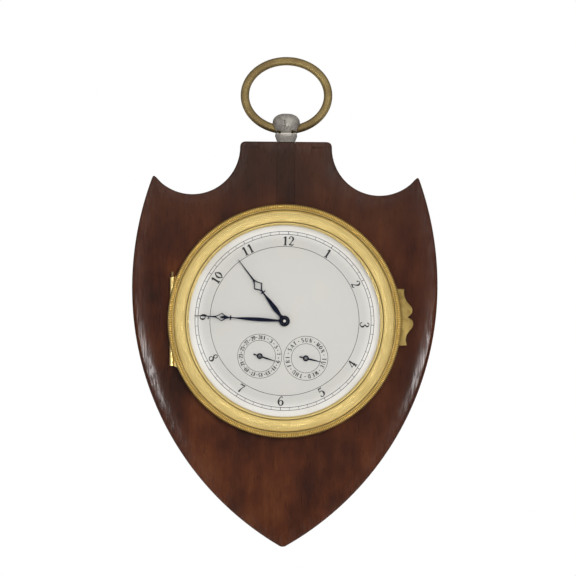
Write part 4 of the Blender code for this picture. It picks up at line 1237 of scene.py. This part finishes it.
@dataclass
class Bezel(Assembly):
    """The engine-turned bezel with its reeded rim, lip, glass, thumb-piece and hinge."""

    underside: float = 39.8
    inner: float = 44.6
    rim: float = 51.72
    reed_depth: float = 0.36
    glass_radius: float = 44.3
    line: HingeLine = HingeLine(-50.8, 39.4)
    hinge_top: float = 19.4
    hinge_bottom: float = -20.7
    leaf_splay: float = 1.6
    pin: float = 0.6
    pin_bore: float = 0.8
    pin_end: float = 2.4
    knuckle: float = 1.15
    knuckle_low: float = -9.2
    knuckle_high: float = 7.9
    knuckle_gap: float = 0.3

    def half_round(self, height: float, wide: float, tall: float) -> Loop:
        """Section of the rim from its inner side over its top, of a half width and a height."""
        angles = [math.radians(150.0 - 15.0 * i) for i in range(11)]
        return [(self.rim + wide * math.cos(a), height + tall * math.sin(a)) for a in angles]

    def profile(self) -> Loop:
        """Section of the bezel, from the inner edge over the lip, the band and the rim.

        Returns:
            The closed section.
        """
        lip = [(43.65, 42.4), (43.65, 43.55), (43.78, 43.7), (44.45, 43.72), (44.55, 43.45), (44.75, 43.45)]
        band = [(44.85, 43.8), (45.6, 44.2), (46.8, 44.3), (48.2, 43.9), (49.3, 43.25), (49.95, 42.4)]
        channel = [(50.1, 41.75), (50.35, 41.75)]
        section = [(self.inner, self.underside), (self.inner, 42.4), *lip, *smooth(band, 5), *channel]
        return [*section, *self.half_round(41.1, 1.05, 0.85), (52.85, self.underside), section[0]]

    def build(self) -> None:
        """Model the bezel and what it carries."""
        ring = Bench.turned("gilt_bezel", self.profile(), 240)
        for low, high in ((self.knuckle_high, 20.0), (-21.3, self.knuckle_low)):
            Bench.cut(ring, Bench.box((-55.0, low, 38.0), (-48.2, high, 40.85)))
        Bench.weld(ring, self.line.bar(self.knuckle, self.knuckle_low, self.knuckle_high, 40))
        Bench.cut(ring, self.line.bar(self.pin_bore, self.knuckle_low - 2.0, self.knuckle_high + 2.0, 24))
        Bench.soften(ring, angle=30.0)
        self.shop.seat(Bench.stand(ring), "bezel", "engine_turned")
        self.reeding()
        self.glass()
        self.thumb_piece()
        self.hinge()

    def reeding(self) -> None:
        """Model the fine reeds round the rim."""
        section = [*self.half_round(41.15, 1.32, 1.3), (52.7, 41.0), (self.rim, 41.6)]
        reeded = Bench.turned("bezel_reeding", [*section, section[0]], 2 * REEDS)
        pitch = FULL_TURN / (2 * REEDS)
        hollows = []
        for vertex in reeded.data.vertices:
            column = round(math.atan2(vertex.co.y, vertex.co.x) / pitch)
            hollows.append(column % 2 == 1 and vertex.co.z > 41.05 * MM)
        Bench.edit(reeded, "VERT", hollows)
        bpy.ops.transform.shrink_fatten(value=-self.reed_depth * MM)
        bpy.ops.object.mode_set(mode="OBJECT")
        Bench.soften(reeded, angle=50.0)
        self.shop.seat(Bench.stand(reeded), "bezel", "reeded_gilt", stands_for=False)

    def glass(self) -> None:
        """Model the domed glass and the ring that holds it."""
        spans = [self.glass_radius * i / 16.0 for i in range(17)]
        dome = [(r, 42.1 + 3.2 * (1.0 - (r / self.glass_radius) ** 2)) for r in spans]
        hollow = [(r, 40.9 + 3.1 * (1.0 - (r / self.glass_radius) ** 2)) for r in reversed(spans)]
        crystal = Bench.turned("domed_glass", dome + hollow, 144)
        Bench.soften(crystal, angle=40.0)
        self.shop.seat(Bench.stand(crystal), "crystal", "glass")
        outer = [(self.glass_radius, 40.6), (self.glass_radius, 39.9)]
        ring = Bench.turned("glass_ring", [(43.4, 40.6), *outer, (43.4, 39.9), (43.4, 40.6)], 180)
        Bench.soften(ring, 0.12)
        self.shop.seat(Bench.stand(ring), "glass_retainer", "gilt")

    def thumb_piece(self) -> None:
        """Model the scalloped thumb-piece."""
        edge = arc(CENTRE, 49.9, -12.5, 17.5, 16)
        upper = [(54.0, 14.9), (53.85, 13.4), (54.2, 11.4), (55.3, 9.2), (56.7, 7.6), (57.6, 6.2)]
        upper += [(57.7, 4.6), (56.9, 3.3), (55.6, 2.1)]
        lower = [(55.6, 2.1), (56.7, 1.6), (57.9, 0.6), (58.2, -0.9), (57.8, -2.3), (56.6, -3.9)]
        lower += [(55.4, -5.6), (54.9, -7.6), (55.0, -9.2), (55.3, -10.6)]
        tab = Bench.plate("thumb_tab", [edge + joined(upper, lower, 6)], 38.2, 40.0)
        Bench.soften(tab, 0.85, 5, 25.0)
        self.shop.seat(Bench.stand(tab), "thumb_piece", "gilt_tarnish_and_painted_shade")

    def hinge(self) -> None:
        """Model the fixed leaf with its two knuckles, and the pin."""
        foot = [(-50.0, self.hinge_bottom), (-46.9, self.hinge_bottom - self.leaf_splay)]
        head = [(-46.9, self.hinge_top + self.leaf_splay), (-50.0, self.hinge_top)]
        leaf = Bench.plate("hinge_leaf", [foot + head], 36.3, 38.0)
        above = (self.knuckle_high + self.knuckle_gap, self.hinge_top)
        below = (self.hinge_bottom, self.knuckle_low - self.knuckle_gap)
        for low, high in (above, below):
            web = Bench.box((-50.1, low, 37.0), (-48.7, high, 39.3))
            Bench.weld(leaf, web, self.line.bar(self.knuckle, low, high, 40))
        Bench.cut(leaf, self.line.bar(self.pin_bore, -30.0, 30.0, 24))
        Bench.soften(leaf)
        self.shop.seat(Bench.stand(leaf), "bezel_hinge_leaf", "gilt")
        pin = self.line.bar(self.pin, self.hinge_bottom, self.hinge_top + self.pin_end, 24)
        pin.name = "hinge_pin"
        Bench.soften(pin, 0.15, 3)
        self.shop.seat(Bench.stand(pin), "bezel_hinge_pin", "antique_brass")


# Pen strokes of the dial's figures: x, y and half width of the pen in hundredths of a figure's height
STEM = [(12, 100, 8), (12, 0, 8)]
FIGURES: dict[str, list[list[Spot]]] = {
    "1": [[(12, 78, 4), (34, 100, 5)], [(34, 97, 10), (34, 3, 10)], [(14, 2, 4), (54, 2, 4)]],
    "2": [
        [(10, 74, 9), (13, 90, 4), (32, 100, 4), (53, 78, 10), (38, 42, 5), (7, 4, 4)],
        [(7, 4, 4), (24, 9, 7), (42, 3, 6), (58, 18, 4)],
    ],
    "3": [
        [(10, 80, 8), (18, 96, 4), (36, 100, 4), (51, 78, 8), (28, 55, 4)],
        [(28, 55, 4), (56, 30, 10), (34, 0, 4), (14, 5, 4), (8, 20, 8)],
    ],
    "4": [
        [(45, 100, 4), (3, 30, 4)],
        [(3, 30, 3.5), (63, 30, 3.5)],
        [(45, 98, 7.5), (45, 3, 10)],
        [(28, 2, 4), (62, 2, 4)],
    ],
    "5": [
        [(15, 98, 4), (14, 56, 4)],
        [(15, 96, 5), (34, 92, 7), (53, 100, 4)],
        [(14, 54, 4), (34, 64, 4), (56, 34, 10), (34, 0, 4), (14, 5, 4), (8, 18, 8)],
    ],
    "6": [
        [(50, 87, 7), (40, 100, 4), (18, 80, 5), (7, 34, 10)]
        + [(32, 0, 4), (56, 30, 10), (34, 58, 4), (10, 40, 4)],
    ],
    "7": [
        [(7, 80, 4), (10, 96, 5), (30, 91, 7), (57, 100, 4)],
        [(57, 100, 4), (36, 50, 5), (26, 2, 10)],
    ],
    "8": [
        [(30, 54, 7.5), (13, 78, 6), (32, 100, 4), (50, 78, 5), (30, 54, 3)],
        [(31, 53.5, 7.5), (55, 26, 10), (32, 0, 4), (7, 26, 5), (31, 53, 3)],
    ],
    "0": [[(32, 100, 4), (7, 50, 10), (32, 0, 4)], [(32, 100, 4), (57, 50, 10), (32, 0, 4)]],
    "A": [[(4, 0, 4), (32, 100, 4)], [(32, 100, 7.5), (60, 0, 7.5)], [(16, 36, 4), (48, 36, 4)]],
    "D": [STEM, [(12, 97, 4), (38, 90, 5), (56, 50, 8), (38, 10, 5), (12, 3, 4)]],
    "E": [STEM, [(12, 97, 4), (52, 97, 4)], [(12, 52, 4), (44, 52, 4)], [(12, 3, 4), (54, 3, 4)]],
    "F": [STEM, [(12, 97, 4), (54, 97, 4)], [(12, 52, 4), (44, 52, 4)]],
    "H": [STEM, [(12, 50, 4), (54, 50, 4)], [(54, 100, 8), (54, 0, 8)]],
    "I": [[(32, 100, 8), (32, 0, 8)]],
    "M": [
        [(6, 0, 4), (10, 100, 4)],
        [(10, 100, 7.5), (34, 10, 7.5)],
        [(34, 10, 4), (58, 100, 4)],
        [(58, 100, 7.5), (62, 0, 7.5)],
    ],
    "N": [[(10, 0, 4), (10, 100, 4)], [(10, 100, 7.5), (54, 0, 7.5)], [(54, 0, 4), (54, 100, 4)]],
    "R": [
        STEM,
        [(12, 97, 4), (40, 95, 5), (52, 76, 7.5), (38, 55, 5), (12, 52, 4)],
        [(32, 52, 6.5), (58, 0, 6.5)],
    ],
    "S": [[(50, 84, 5), (30, 100, 4), (10, 76, 7), (30, 52, 8), (53, 25, 7), (28, 0, 4), (6, 16, 5)]],
    "T": [[(4, 96, 4), (60, 96, 4)], [(32, 100, 8), (32, 0, 8)]],
    "U": [[(10, 100, 8), (10, 30, 8), (32, 0, 6), (54, 30, 4), (54, 100, 4)]],
    "W": [
        [(0, 100, 7.5), (18, 0, 7.5)],
        [(18, 0, 4), (33, 90, 4)],
        [(33, 90, 7.5), (48, 0, 7.5)],
        [(48, 0, 4), (66, 100, 4)],
    ],
}
FIGURES["9"] = [[(64 - x, 100 - y, pen) for x, y, pen in stroke] for stroke in FIGURES["6"]]
FIGURES["O"] = FIGURES["0"]


class Engraver:
    """Lines, dots and figures of the dial, gathered into one curve of flattened pen strokes."""

    flatness = 0.05
    figure_width = 0.64
    advance = 0.68

    def __init__(self, name: str, height: float) -> None:
        """Start an empty curve.

        Args:
            name: name of the piece.
            height: height of the dial's face.
        """
        self.curve = bpy.data.curves.new(name, "CURVE")
        self.curve.dimensions = "3D"
        self.curve.bevel_depth = MM
        self.curve.bevel_resolution = 1
        self.curve.resolution_u = 5
        self.curve.use_fill_caps = True
        self.name = name
        self.height = height

    def stroke(self, points: list[Spot]) -> None:
        """Draw one stroke.

        Args:
            points: x, y and half width of the pen in millimetres.
        """
        spline = self.curve.splines.new("BEZIER")
        spline.bezier_points.add(len(points) - 1)
        for knot, (x, y, pen) in zip(spline.bezier_points, points):
            knot.co = (x * MM, y * MM, 0.0)
            knot.radius = pen
            knot.handle_left_type = "AUTO"
            knot.handle_right_type = "AUTO"

    def ring(self, radius: float, pen: float, centre: Point, count: int) -> None:
        """Draw a circle of a number of sides."""
        Bench.closed_line(self.curve, circle(radius, count, centre), pen)

    def tick(
        self, inner: float, outer: float, clock_angle: float, pen: float, centre: Point = CENTRE
    ) -> None:
        """Draw a short line along a radius."""
        ends = (polar(inner, 90.0 - clock_angle, centre), polar(outer, 90.0 - clock_angle, centre))
        self.stroke([(*end, pen) for end in ends])

    def figures(
        self,
        text: str,
        radius: float,
        clock_angle: float,
        size: float,
        weight: float,
        tops: Tops = Tops.OUTWARD,
        centre: Point = CENTRE,
    ) -> None:
        """Draw figures side by side on a ring.

        Args:
            text: the figures.
            radius: distance of their middle from the centre of the ring.
            clock_angle: place on the ring, clockwise from the top, in degrees.
            size: height of a figure.
            weight: how much heavier than usual the pen is.
            tops: which way their tops point.
            centre: centre of the ring.
        """
        angle = math.radians(clock_angle)
        out = Vector((math.sin(angle), math.cos(angle))) * tops.value
        across = Vector((math.cos(angle), -math.sin(angle))) * tops.value
        middle = Vector(polar(radius, 90.0 - clock_angle, centre))
        start = -self.advance * len(text) / 2.0 + (self.advance - self.figure_width) / 2.0
        for index, figure in enumerate(text):
            for stroke in FIGURES[figure]:
                row = []
                for x, y, pen in stroke:
                    along = start + index * self.advance + x / 100.0
                    spot = middle + across * along * size + out * (y / 100.0 - 0.5) * size
                    row.append((spot.x, spot.y, pen / 100.0 * size * weight))
                self.stroke(row)

    def finish(self) -> Piece:
        """Turn the strokes into a thin raised mesh on the dial's face.

        Returns:
            The new object.
        """
        piece = Bench.place(self.name, self.curve)
        piece.scale.z = self.flatness
        piece.location.z = self.height * MM
        Bench.as_mesh(piece)
        Bench.soften(piece, angle=50.0)
        return piece


@dataclass
class Dial(Assembly):
    """The silvered dial with its engraved rings and figures."""

    radius: float = 43.3
    back: float = 36.8
    front: float = 37.8
    track_outer: float = 40.5
    track_inner: float = 39.15
    chapter: float = 33.75
    figure_size: float = 4.0
    figure_weight: float = 1.08
    sub_outer: float = 9.98
    date_inner: float = 7.15
    date_size: float = 1.55
    date_weight: float = 1.7
    day_inner: float = 6.6
    day_size: float = 1.9
    day_weight: float = 1.35
    letter_step: float = 12.5
    fine_pen: float = 0.115
    sub_pen: float = 0.1
    dot_half: float = 0.18
    dot_pen: float = 0.28
    days: tuple[str, ...] = ("SUN", "MON", "TUE", "WED", "THU", "FRI", "SAT")

    def build(self) -> None:
        """Model the dial and engrave it."""
        holes = [circle(2.3, 40), circle(0.9, 24, DATE_AT), circle(0.9, 24, DAY_AT)]
        disc = Bench.plate("dial_disc", [circle(self.radius, 240), *holes], self.back, self.front)
        Bench.soften(disc, 0.12)
        Bench.flatten(disc)
        self.shop.seat(Bench.stand(disc, DIAL_TURN), "dial", "silvered_dial")
        for work in (self.hours(), self.calendar()):
            self.shop.seat(Bench.stand(work.finish(), DIAL_TURN), "dial", "ink", stands_for=False)

    def hours(self) -> Engraver:
        """Engrave the minute track and the hours, those below turned to stand upright.

        Returns:
            The engraved strokes.
        """
        work = Engraver("hour_figures", self.front)
        for radius in (self.track_outer, self.track_inner, self.chapter):
            work.ring(radius, self.fine_pen, CENTRE, 240)
        for minute in range(60):
            pen = 0.13 if minute % 5 == 0 else 0.08
            work.tick(self.track_inner, self.track_outer, 6.0 * minute, pen)
        middle = (self.track_inner + self.chapter) / 2.0 - 0.2
        for hour in range(1, 13):
            tops = Tops.INWARD if 4 <= hour <= 8 else Tops.OUTWARD
            work.figures(str(hour), middle, 30.0 * hour, self.figure_size, self.figure_weight, tops)
        return work

    def calendar(self) -> Engraver:
        """Engrave the ring of dates and the ring of weekdays.

        Returns:
            The engraved strokes.
        """
        work = Engraver("calendar_figures", self.front)
        for centre, inner in ((DATE_AT, self.date_inner), (DAY_AT, self.day_inner)):
            work.ring(self.sub_outer, self.sub_pen, centre, 120)
            work.ring(inner, self.sub_pen, centre, 96)
        middle = (self.sub_outer + self.date_inner) / 2.0
        for date in range(1, 32):
            angle = 360.0 * date / 31.0
            if date % 2:
                work.figures(str(date), middle, angle, self.date_size, self.date_weight, centre=DATE_AT)
            else:
                work.tick(middle - self.dot_half, middle + self.dot_half, angle, self.dot_pen, DATE_AT)
        middle = (self.sub_outer + self.day_inner) / 2.0
        step = 360.0 / len(self.days)
        for index, day in enumerate(self.days):
            for place, letter in enumerate(day):
                angle = step * index + (place - 1) * self.letter_step
                work.figures(letter, middle, angle, self.day_size, self.day_weight, centre=DAY_AT)
            angle = step * (index + 0.5)
            work.tick(middle - self.dot_half, middle + self.dot_half, angle, self.dot_pen, DAY_AT)
        return work


@dataclass
class Hands(Assembly):
    """The blued hands and the nut that holds them."""

    hour_angle: float = 39.7
    minute_angle: float = 89.1
    date_angle: float = -105.3
    day_angle: float = -100.8
    hour_heights: Point = (39.0, 39.5)
    minute_heights: Point = (40.1, 40.6)
    small_heights: Point = (38.2, 38.55)

    def build(self) -> None:
        """Model the hands, then the nut and the end of the arbor in it."""
        side = arc(CENTRE, 2.45, -90.0, 68.0, 20)
        side += smooth([(0.62, 3.2), (0.95, 5.4), (1.08, 7.6), (0.8, 11.2), (0.38, 14.4), (0.32, 15.9)])
        side += [(1.3, 16.0), (1.3, 16.4), (0.32, 16.5), (0.4, 17.2)]
        side += smooth([(0.4, 17.2), (1.15, 18.35), (2.35, 19.75)], 5)[1:]
        side += smooth([(2.35, 19.75), (1.15, 21.4), (0.4, 23.2)], 5)[1:]
        side += [(0.3, 25.4), (0.12, 34.8)]
        window = smooth([(0.0, 17.7), (0.82, 18.75), (1.78, 19.8)], 5)
        window += smooth([(1.78, 19.8), (0.8, 21.1), (0.0, 22.5)], 5)[1:]
        bore = circle(2.0, 32)
        self.hand("hour_hand", [side, window], bore, self.hour_heights, self.hour_angle)

        side = arc(CENTRE, 2.15, -90.0, 70.0, 18)
        side += smooth([(0.45, 3.2), (0.72, 7.0), (0.88, 12.0), (0.66, 18.0), (0.32, 21.8), (0.28, 24.1)])
        side += [(1.12, 24.2), (1.12, 24.6), (0.28, 24.7), (0.36, 25.4)]
        side += smooth([(0.36, 25.4), (0.95, 26.9), (1.95, 28.5)], 5)[1:]
        side += smooth([(1.95, 28.5), (0.95, 30.0), (0.36, 31.5)], 5)[1:]
        side += [(0.26, 33.5), (0.1, 40.9)]
        window = smooth([(0.0, 29.4), (0.42, 28.5), (0.62, 27.4)], 4)
        window += smooth([(0.62, 27.4), (1.1, 28.0), (1.45, 28.5)], 4)[1:]
        window += smooth([(1.45, 28.5), (0.65, 29.8), (0.0, 31.0)], 5)[1:]
        bore = circle(1.4, 32)
        self.hand("minute_hand", [side, window], bore, self.minute_heights, self.minute_angle)

        nut = [(0.0, 42.25), (0.7, 42.22), (0.78, 42.0), (0.9, 42.0), (1.0, 42.15)]
        nut += [(1.3, 41.95), (1.55, 41.4), (1.6, 40.9), (0.0, 40.9)]
        end = [(0.0, 42.5), (0.35, 42.46), (0.62, 42.35), (0.68, 42.1), (0.0, 42.1)]
        # The arbor's end takes the speckled silver, whose painted light makes it pale
        turnings = (("blued_hand_nut", nut, 48, "blued_steel", True), ("arbor_end", end, 32, "silver", False))
        for name, profile, sides, finish, stands_for in turnings:
            piece = Bench.turned(name, profile, sides)
            Bench.soften(piece, angle=35.0)
            self.shop.seat(Bench.stand(piece), "hand_nut", finish, stands_for)

        date = ("date_hand", DATE_AT, 7.8, 3.1, self.date_angle)
        day = ("weekday_hand", DAY_AT, 7.5, 3.0, self.day_angle)
        for node, at, reach, tail, angle in (date, day):
            side = smooth([(0.16, -tail), (0.34, 0.5 - tail), (0.3, 1.0 - tail), (0.18, -1.5)], 3)
            side += arc(CENTRE, 1.35, -74.0, 74.0, 18)
            side += [(0.34, 1.9), (0.36, 3.0), (0.08, reach)]
            bore = circle(0.85, 24)
            self.hand(node, [side], bore, self.small_heights, angle, at)

    def hand(
        self, node: str, halves: list[Loop], bore: Loop, heights: Point, angle: float, at: Point = CENTRE
    ) -> None:
        """Cut a hand out of sheet, round its edges and put it on its arbor.

        Args:
            node: the node that it stands for.
            halves: right sides of its outline and of its window, pointing to 12.
            bore: the hole for its arbor.
            heights: heights of its back and its front.
            angle: its turn in degrees, anticlockwise from 12.
            at: its arbor in the dial's frame.
        """
        piece = Bench.plate("blued_" + node, [*map(mirrored, halves), bore], *heights)
        Bench.soften(piece, 0.1, 2, 40.0)
        Bench.flatten(piece)
        turn = Matrix.Rotation(math.radians(angle), 4, "Z")
        piece.matrix_world = Matrix.Translation((at[0] * MM, at[1] * MM, 0.0)) @ turn
        Bench.settle(piece)
        self.shop.seat(Bench.stand(piece, DIAL_TURN), node, "blued_steel")


@dataclass
class RearDoor(Assembly):
    """The turned door in the back and the frame that it is hinged to."""

    line: HingeLine = HingeLine(40.7, 1.3)
    knuckle: float = 0.95
    pin_bore: float = 0.65
    screw_radius: float = 41.75

    def build(self) -> None:
        """Model the frame and the door."""
        section = [(38.6, 0.3), (42.8, 0.3), (43.0, 0.5), (43.0, 2.5), (40.1, 2.5), (40.1, 7.2), (36.6, 7.2)]
        section += [(36.6, 2.0), (38.6, 2.0), (38.6, 0.3)]
        ring = Bench.turned("rear_frame_ring", section, 180)
        Bench.cut(ring, Bench.box((36.9, -8.9, -1.0), (42.0, 8.9, 2.35)))
        for low, high in ((4.4, 8.5), (-8.5, -4.4)):
            web = Bench.box((40.9, low, 0.6), (42.5, high, 2.25))
            Bench.weld(ring, web, self.line.bar(self.knuckle, low, high, 28))
        thumb_hollow = Bench.cylinder(4.2, 2.5, (-39.4, 0.0, 0.25), sides=48)
        Bench.cut(ring, self.line.bar(self.pin_bore, -12.0, 12.0, 20), thumb_hollow)
        for angle in (90.0, 180.0, 270.0):
            spot = polar(self.screw_radius, angle)
            Bench.cut(ring, Bench.cylinder(1.0, 5.0, (*spot, 1.5), sides=28))
        Bench.soften(ring)
        self.shop.seat(Bench.stand(ring), "rear_door_frame", "brass")

        face = [(0.0, 0.6), (25.6, 0.6), (26.0, 0.5), (26.6, 0.35), (37.6, 0.35), (38.0, 0.45), (38.2, 0.75)]
        face += [(38.2, 1.7), (0.0, 1.7)]
        door = Bench.turned("turned_rear_door", face, 180)
        web = Bench.box((36.8, -4.1, 0.75), (40.5, 4.1, 1.65))
        Bench.weld(door, web, self.line.bar(self.knuckle, -4.1, 4.1, 28))
        Bench.cut(door, self.line.bar(self.pin_bore, -6.0, 6.0, 20))
        Bench.soften(door)
        self.shop.seat(Bench.stand(door), "rear_door", "turned_gilt")


@dataclass
class Movement(Assembly):
    """Pieces whose solids are right and only need rounded edges and a finish."""

    edge: float = 0.07
    turned_nodes: tuple[str, ...] = ("back_plate", "front_plate", "movement_drum")

    def build(self) -> None:
        """Round and dress every node that no new piece stands for yet."""
        for name, node in sorted(self.shop.frame["nodes"].items()):
            if node.hide_render:
                continue
            piece = Bench.place(name + "_finished", node.data.copy())
            Bench.tidy_mesh(piece, 0.5)
            Bench.soften(piece, self.edge, 1, 40.0)
            Bench.flatten(piece)
            finish = "turned_gilt" if name in self.turned_nodes else self.shop.slot_of[name]
            self.shop.seat(piece, name, finish)


@dataclass
class Studio:
    """Camera, lights, floor and the pale background."""

    mm_per_pixel: float = 0.4525
    pixels: int = 576
    aim: Spot = (1.45, 14.94, 37.0)
    roll: float = -0.5
    distance: float = 3.0
    floor_drop: float = 0.012
    floor_side: float = 8.0
    soft_light: float = 0.42
    bright_room: float = 1.0
    rear_room: float = 0.25
    behind_camera: float = 0.08
    strip_share: float = 0.4
    lit_spot: Spot = (0.0, 0.0, -0.11)
    white: tuple[float, float, float, float] = (1.0, 1.0, 1.0, 1.0)

    def build(self, low: Vector) -> None:
        """Set up the camera and light the clock evenly.

        Args:
            low: lowest corner of the clock.
        """
        self.camera()
        self.floor(low)
        self.world()
        self.lamp("key", (0.32, -1.5, 0.12), 0.6, 13.5)
        self.lamp("fill", (-0.50, -1.4, 0.30), 0.7, 1.5)
        self.lamp("left_sheen", (-0.225, -0.62, -0.186), 0.08, 0.62, -14.0)
        self.lamp("right_sheen", (0.24, -0.62, -0.186), 0.08, 0.55, 14.0)
        self.lamp("top", (0.0, -0.35, 1.0), 0.8, 4.0)
        self.lamp("rear", (0.3, 1.3, 0.5), 1.0, 9.0)

    def camera(self) -> None:
        """Look straight at the dial at the photograph's scale and framing."""
        data = bpy.data.cameras.new("camera")
        data.sensor_width = 36.0
        data.lens = data.sensor_width * self.distance / (self.pixels * self.mm_per_pixel * MM)
        data.clip_start = 0.05
        data.clip_end = 20.0
        camera = Bench.place("camera", data)
        camera.location = Bench.upright @ (Vector(self.aim) * MM) + Vector((0.0, -self.distance, 0.0))
        camera.rotation_euler = (QUARTER_TURN, math.radians(self.roll), 0.0)
        bpy.context.scene.camera = camera

    def floor(self, low: Vector) -> None:
        """Lay a pale floor below the hanging clock.

        Args:
            low: lowest corner of the clock.
        """
        Bench.pick()
        bpy.ops.mesh.primitive_plane_add(size=self.floor_side, location=(0.0, 0.0, low.z - self.floor_drop))
        floor = bpy.context.object
        floor.name = "floor"
        material = bpy.data.materials.new("pale_floor")
        material.use_nodes = True
        tree = Tree(material.node_tree)
        rays = tree.add("LightPath").outputs
        steep = tree.band(tree.add("LayerWeight").outputs["Facing"], 0.92, 0.6, 0.0, 0.9)
        mirrored_floor = tree.math("MULTIPLY", rays["Is Glossy Ray"], steep)
        direct = tree.math("MAXIMUM", rays["Is Camera Ray"], rays["Is Glossy Ray"])
        sockets = {
            "Base Color": tree.mix(direct, (0.8, 0.8, 0.8), (0.0, 0.0, 0.0)),
            "Emission Strength": tree.math("MAXIMUM", rays["Is Camera Ray"], mirrored_floor),
            "Emission Color": self.white,
            "Roughness": 1.0,
            "Specular IOR Level": 0.0,
        }
        tree.feed(material.node_tree.nodes["Principled BSDF"], sockets)
        floor.data.materials.append(material)

    def world(self) -> None:
        """White for the camera, for metal and for glass, and a softer light for the rest."""
        world = bpy.data.worlds.new("studio")
        world.use_nodes = True
        bpy.context.scene.world = world
        tree = Tree(world.node_tree)
        rays = tree.add("LightPath").outputs
        towards = tree.add("TexCoord").outputs["Generated"]
        front = tree.math("MULTIPLY", tree.axes(towards)["Y"], -1.0)
        room = tree.band(front, -0.05, 0.35, self.rear_room, self.bright_room)
        room = tree.math("MULTIPLY", room, tree.band(front, 0.955, 0.99, 1.0, self.behind_camera))
        seen = tree.math("MAXIMUM", rays["Is Camera Ray"], rays["Is Transmission Ray"])
        shine = tree.math("MULTIPLY", rays["Is Glossy Ray"], room)
        soft = tree.math("MULTIPLY_ADD", rays["Is Glossy Ray"], -self.soft_light, self.soft_light)
        strength = tree.math("MAXIMUM", tree.math("MAXIMUM", seen, shine), soft)
        tree.feed(world.node_tree.nodes["Background"], {"Strength": strength, "Color": self.white})

    def lamp(self, name: str, at: Spot, size: float, power: float, slope: float | None = None) -> None:
        """Hang a soft lamp that faces the clock.

        Args:
            name: name of the lamp.
            at: its place.
            size: its longer side in metres.
            power: its power in watts.
            slope: turn in degrees of a strip that only polish shows, or None for a square lamp.
        """
        data = bpy.data.lights.new(name, "AREA")
        data.size = size
        data.energy = power
        lamp = Bench.place(name, data)
        facing = (Vector(self.lit_spot) - Vector(at)).to_track_quat("-Z", "Y")
        lamp.visible_glossy = slope is not None
        lamp.visible_diffuse = slope is None
        if slope is not None:
            data.shape = "RECTANGLE"
            data.size_y = size * self.strip_share
            facing = facing @ Quaternion((0.0, 0.0, 1.0), math.radians(slope))
        lamp.location = at
        lamp.rotation_euler = facing.to_euler()


def main() -> None:
    """Build every sub-assembly around the frame."""
    logging.basicConfig(level=logging.INFO, format="%(message)s")
    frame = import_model()
    bpy.context.scene.view_settings.view_transform = "Standard"
    glass_low, glass_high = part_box("crystal")
    wood_low, wood_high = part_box("shield_body")
    middle = (glass_low + glass_high) / 2.0
    Finishes.centre = Vector((middle.x, wood_high.y, middle.z))
    Bench.upright = Matrix.Translation(Finishes.centre) @ Matrix.Rotation(QUARTER_TURN, 4, "X")
    shop = Workshop(frame)
    for assembly in (ShieldCase, PendantAndBow, Bezel, Dial, Hands, RearDoor, Movement):
        assembly(shop).build()
    Studio().build(wood_low)


if __name__ == "__main__":
    main()
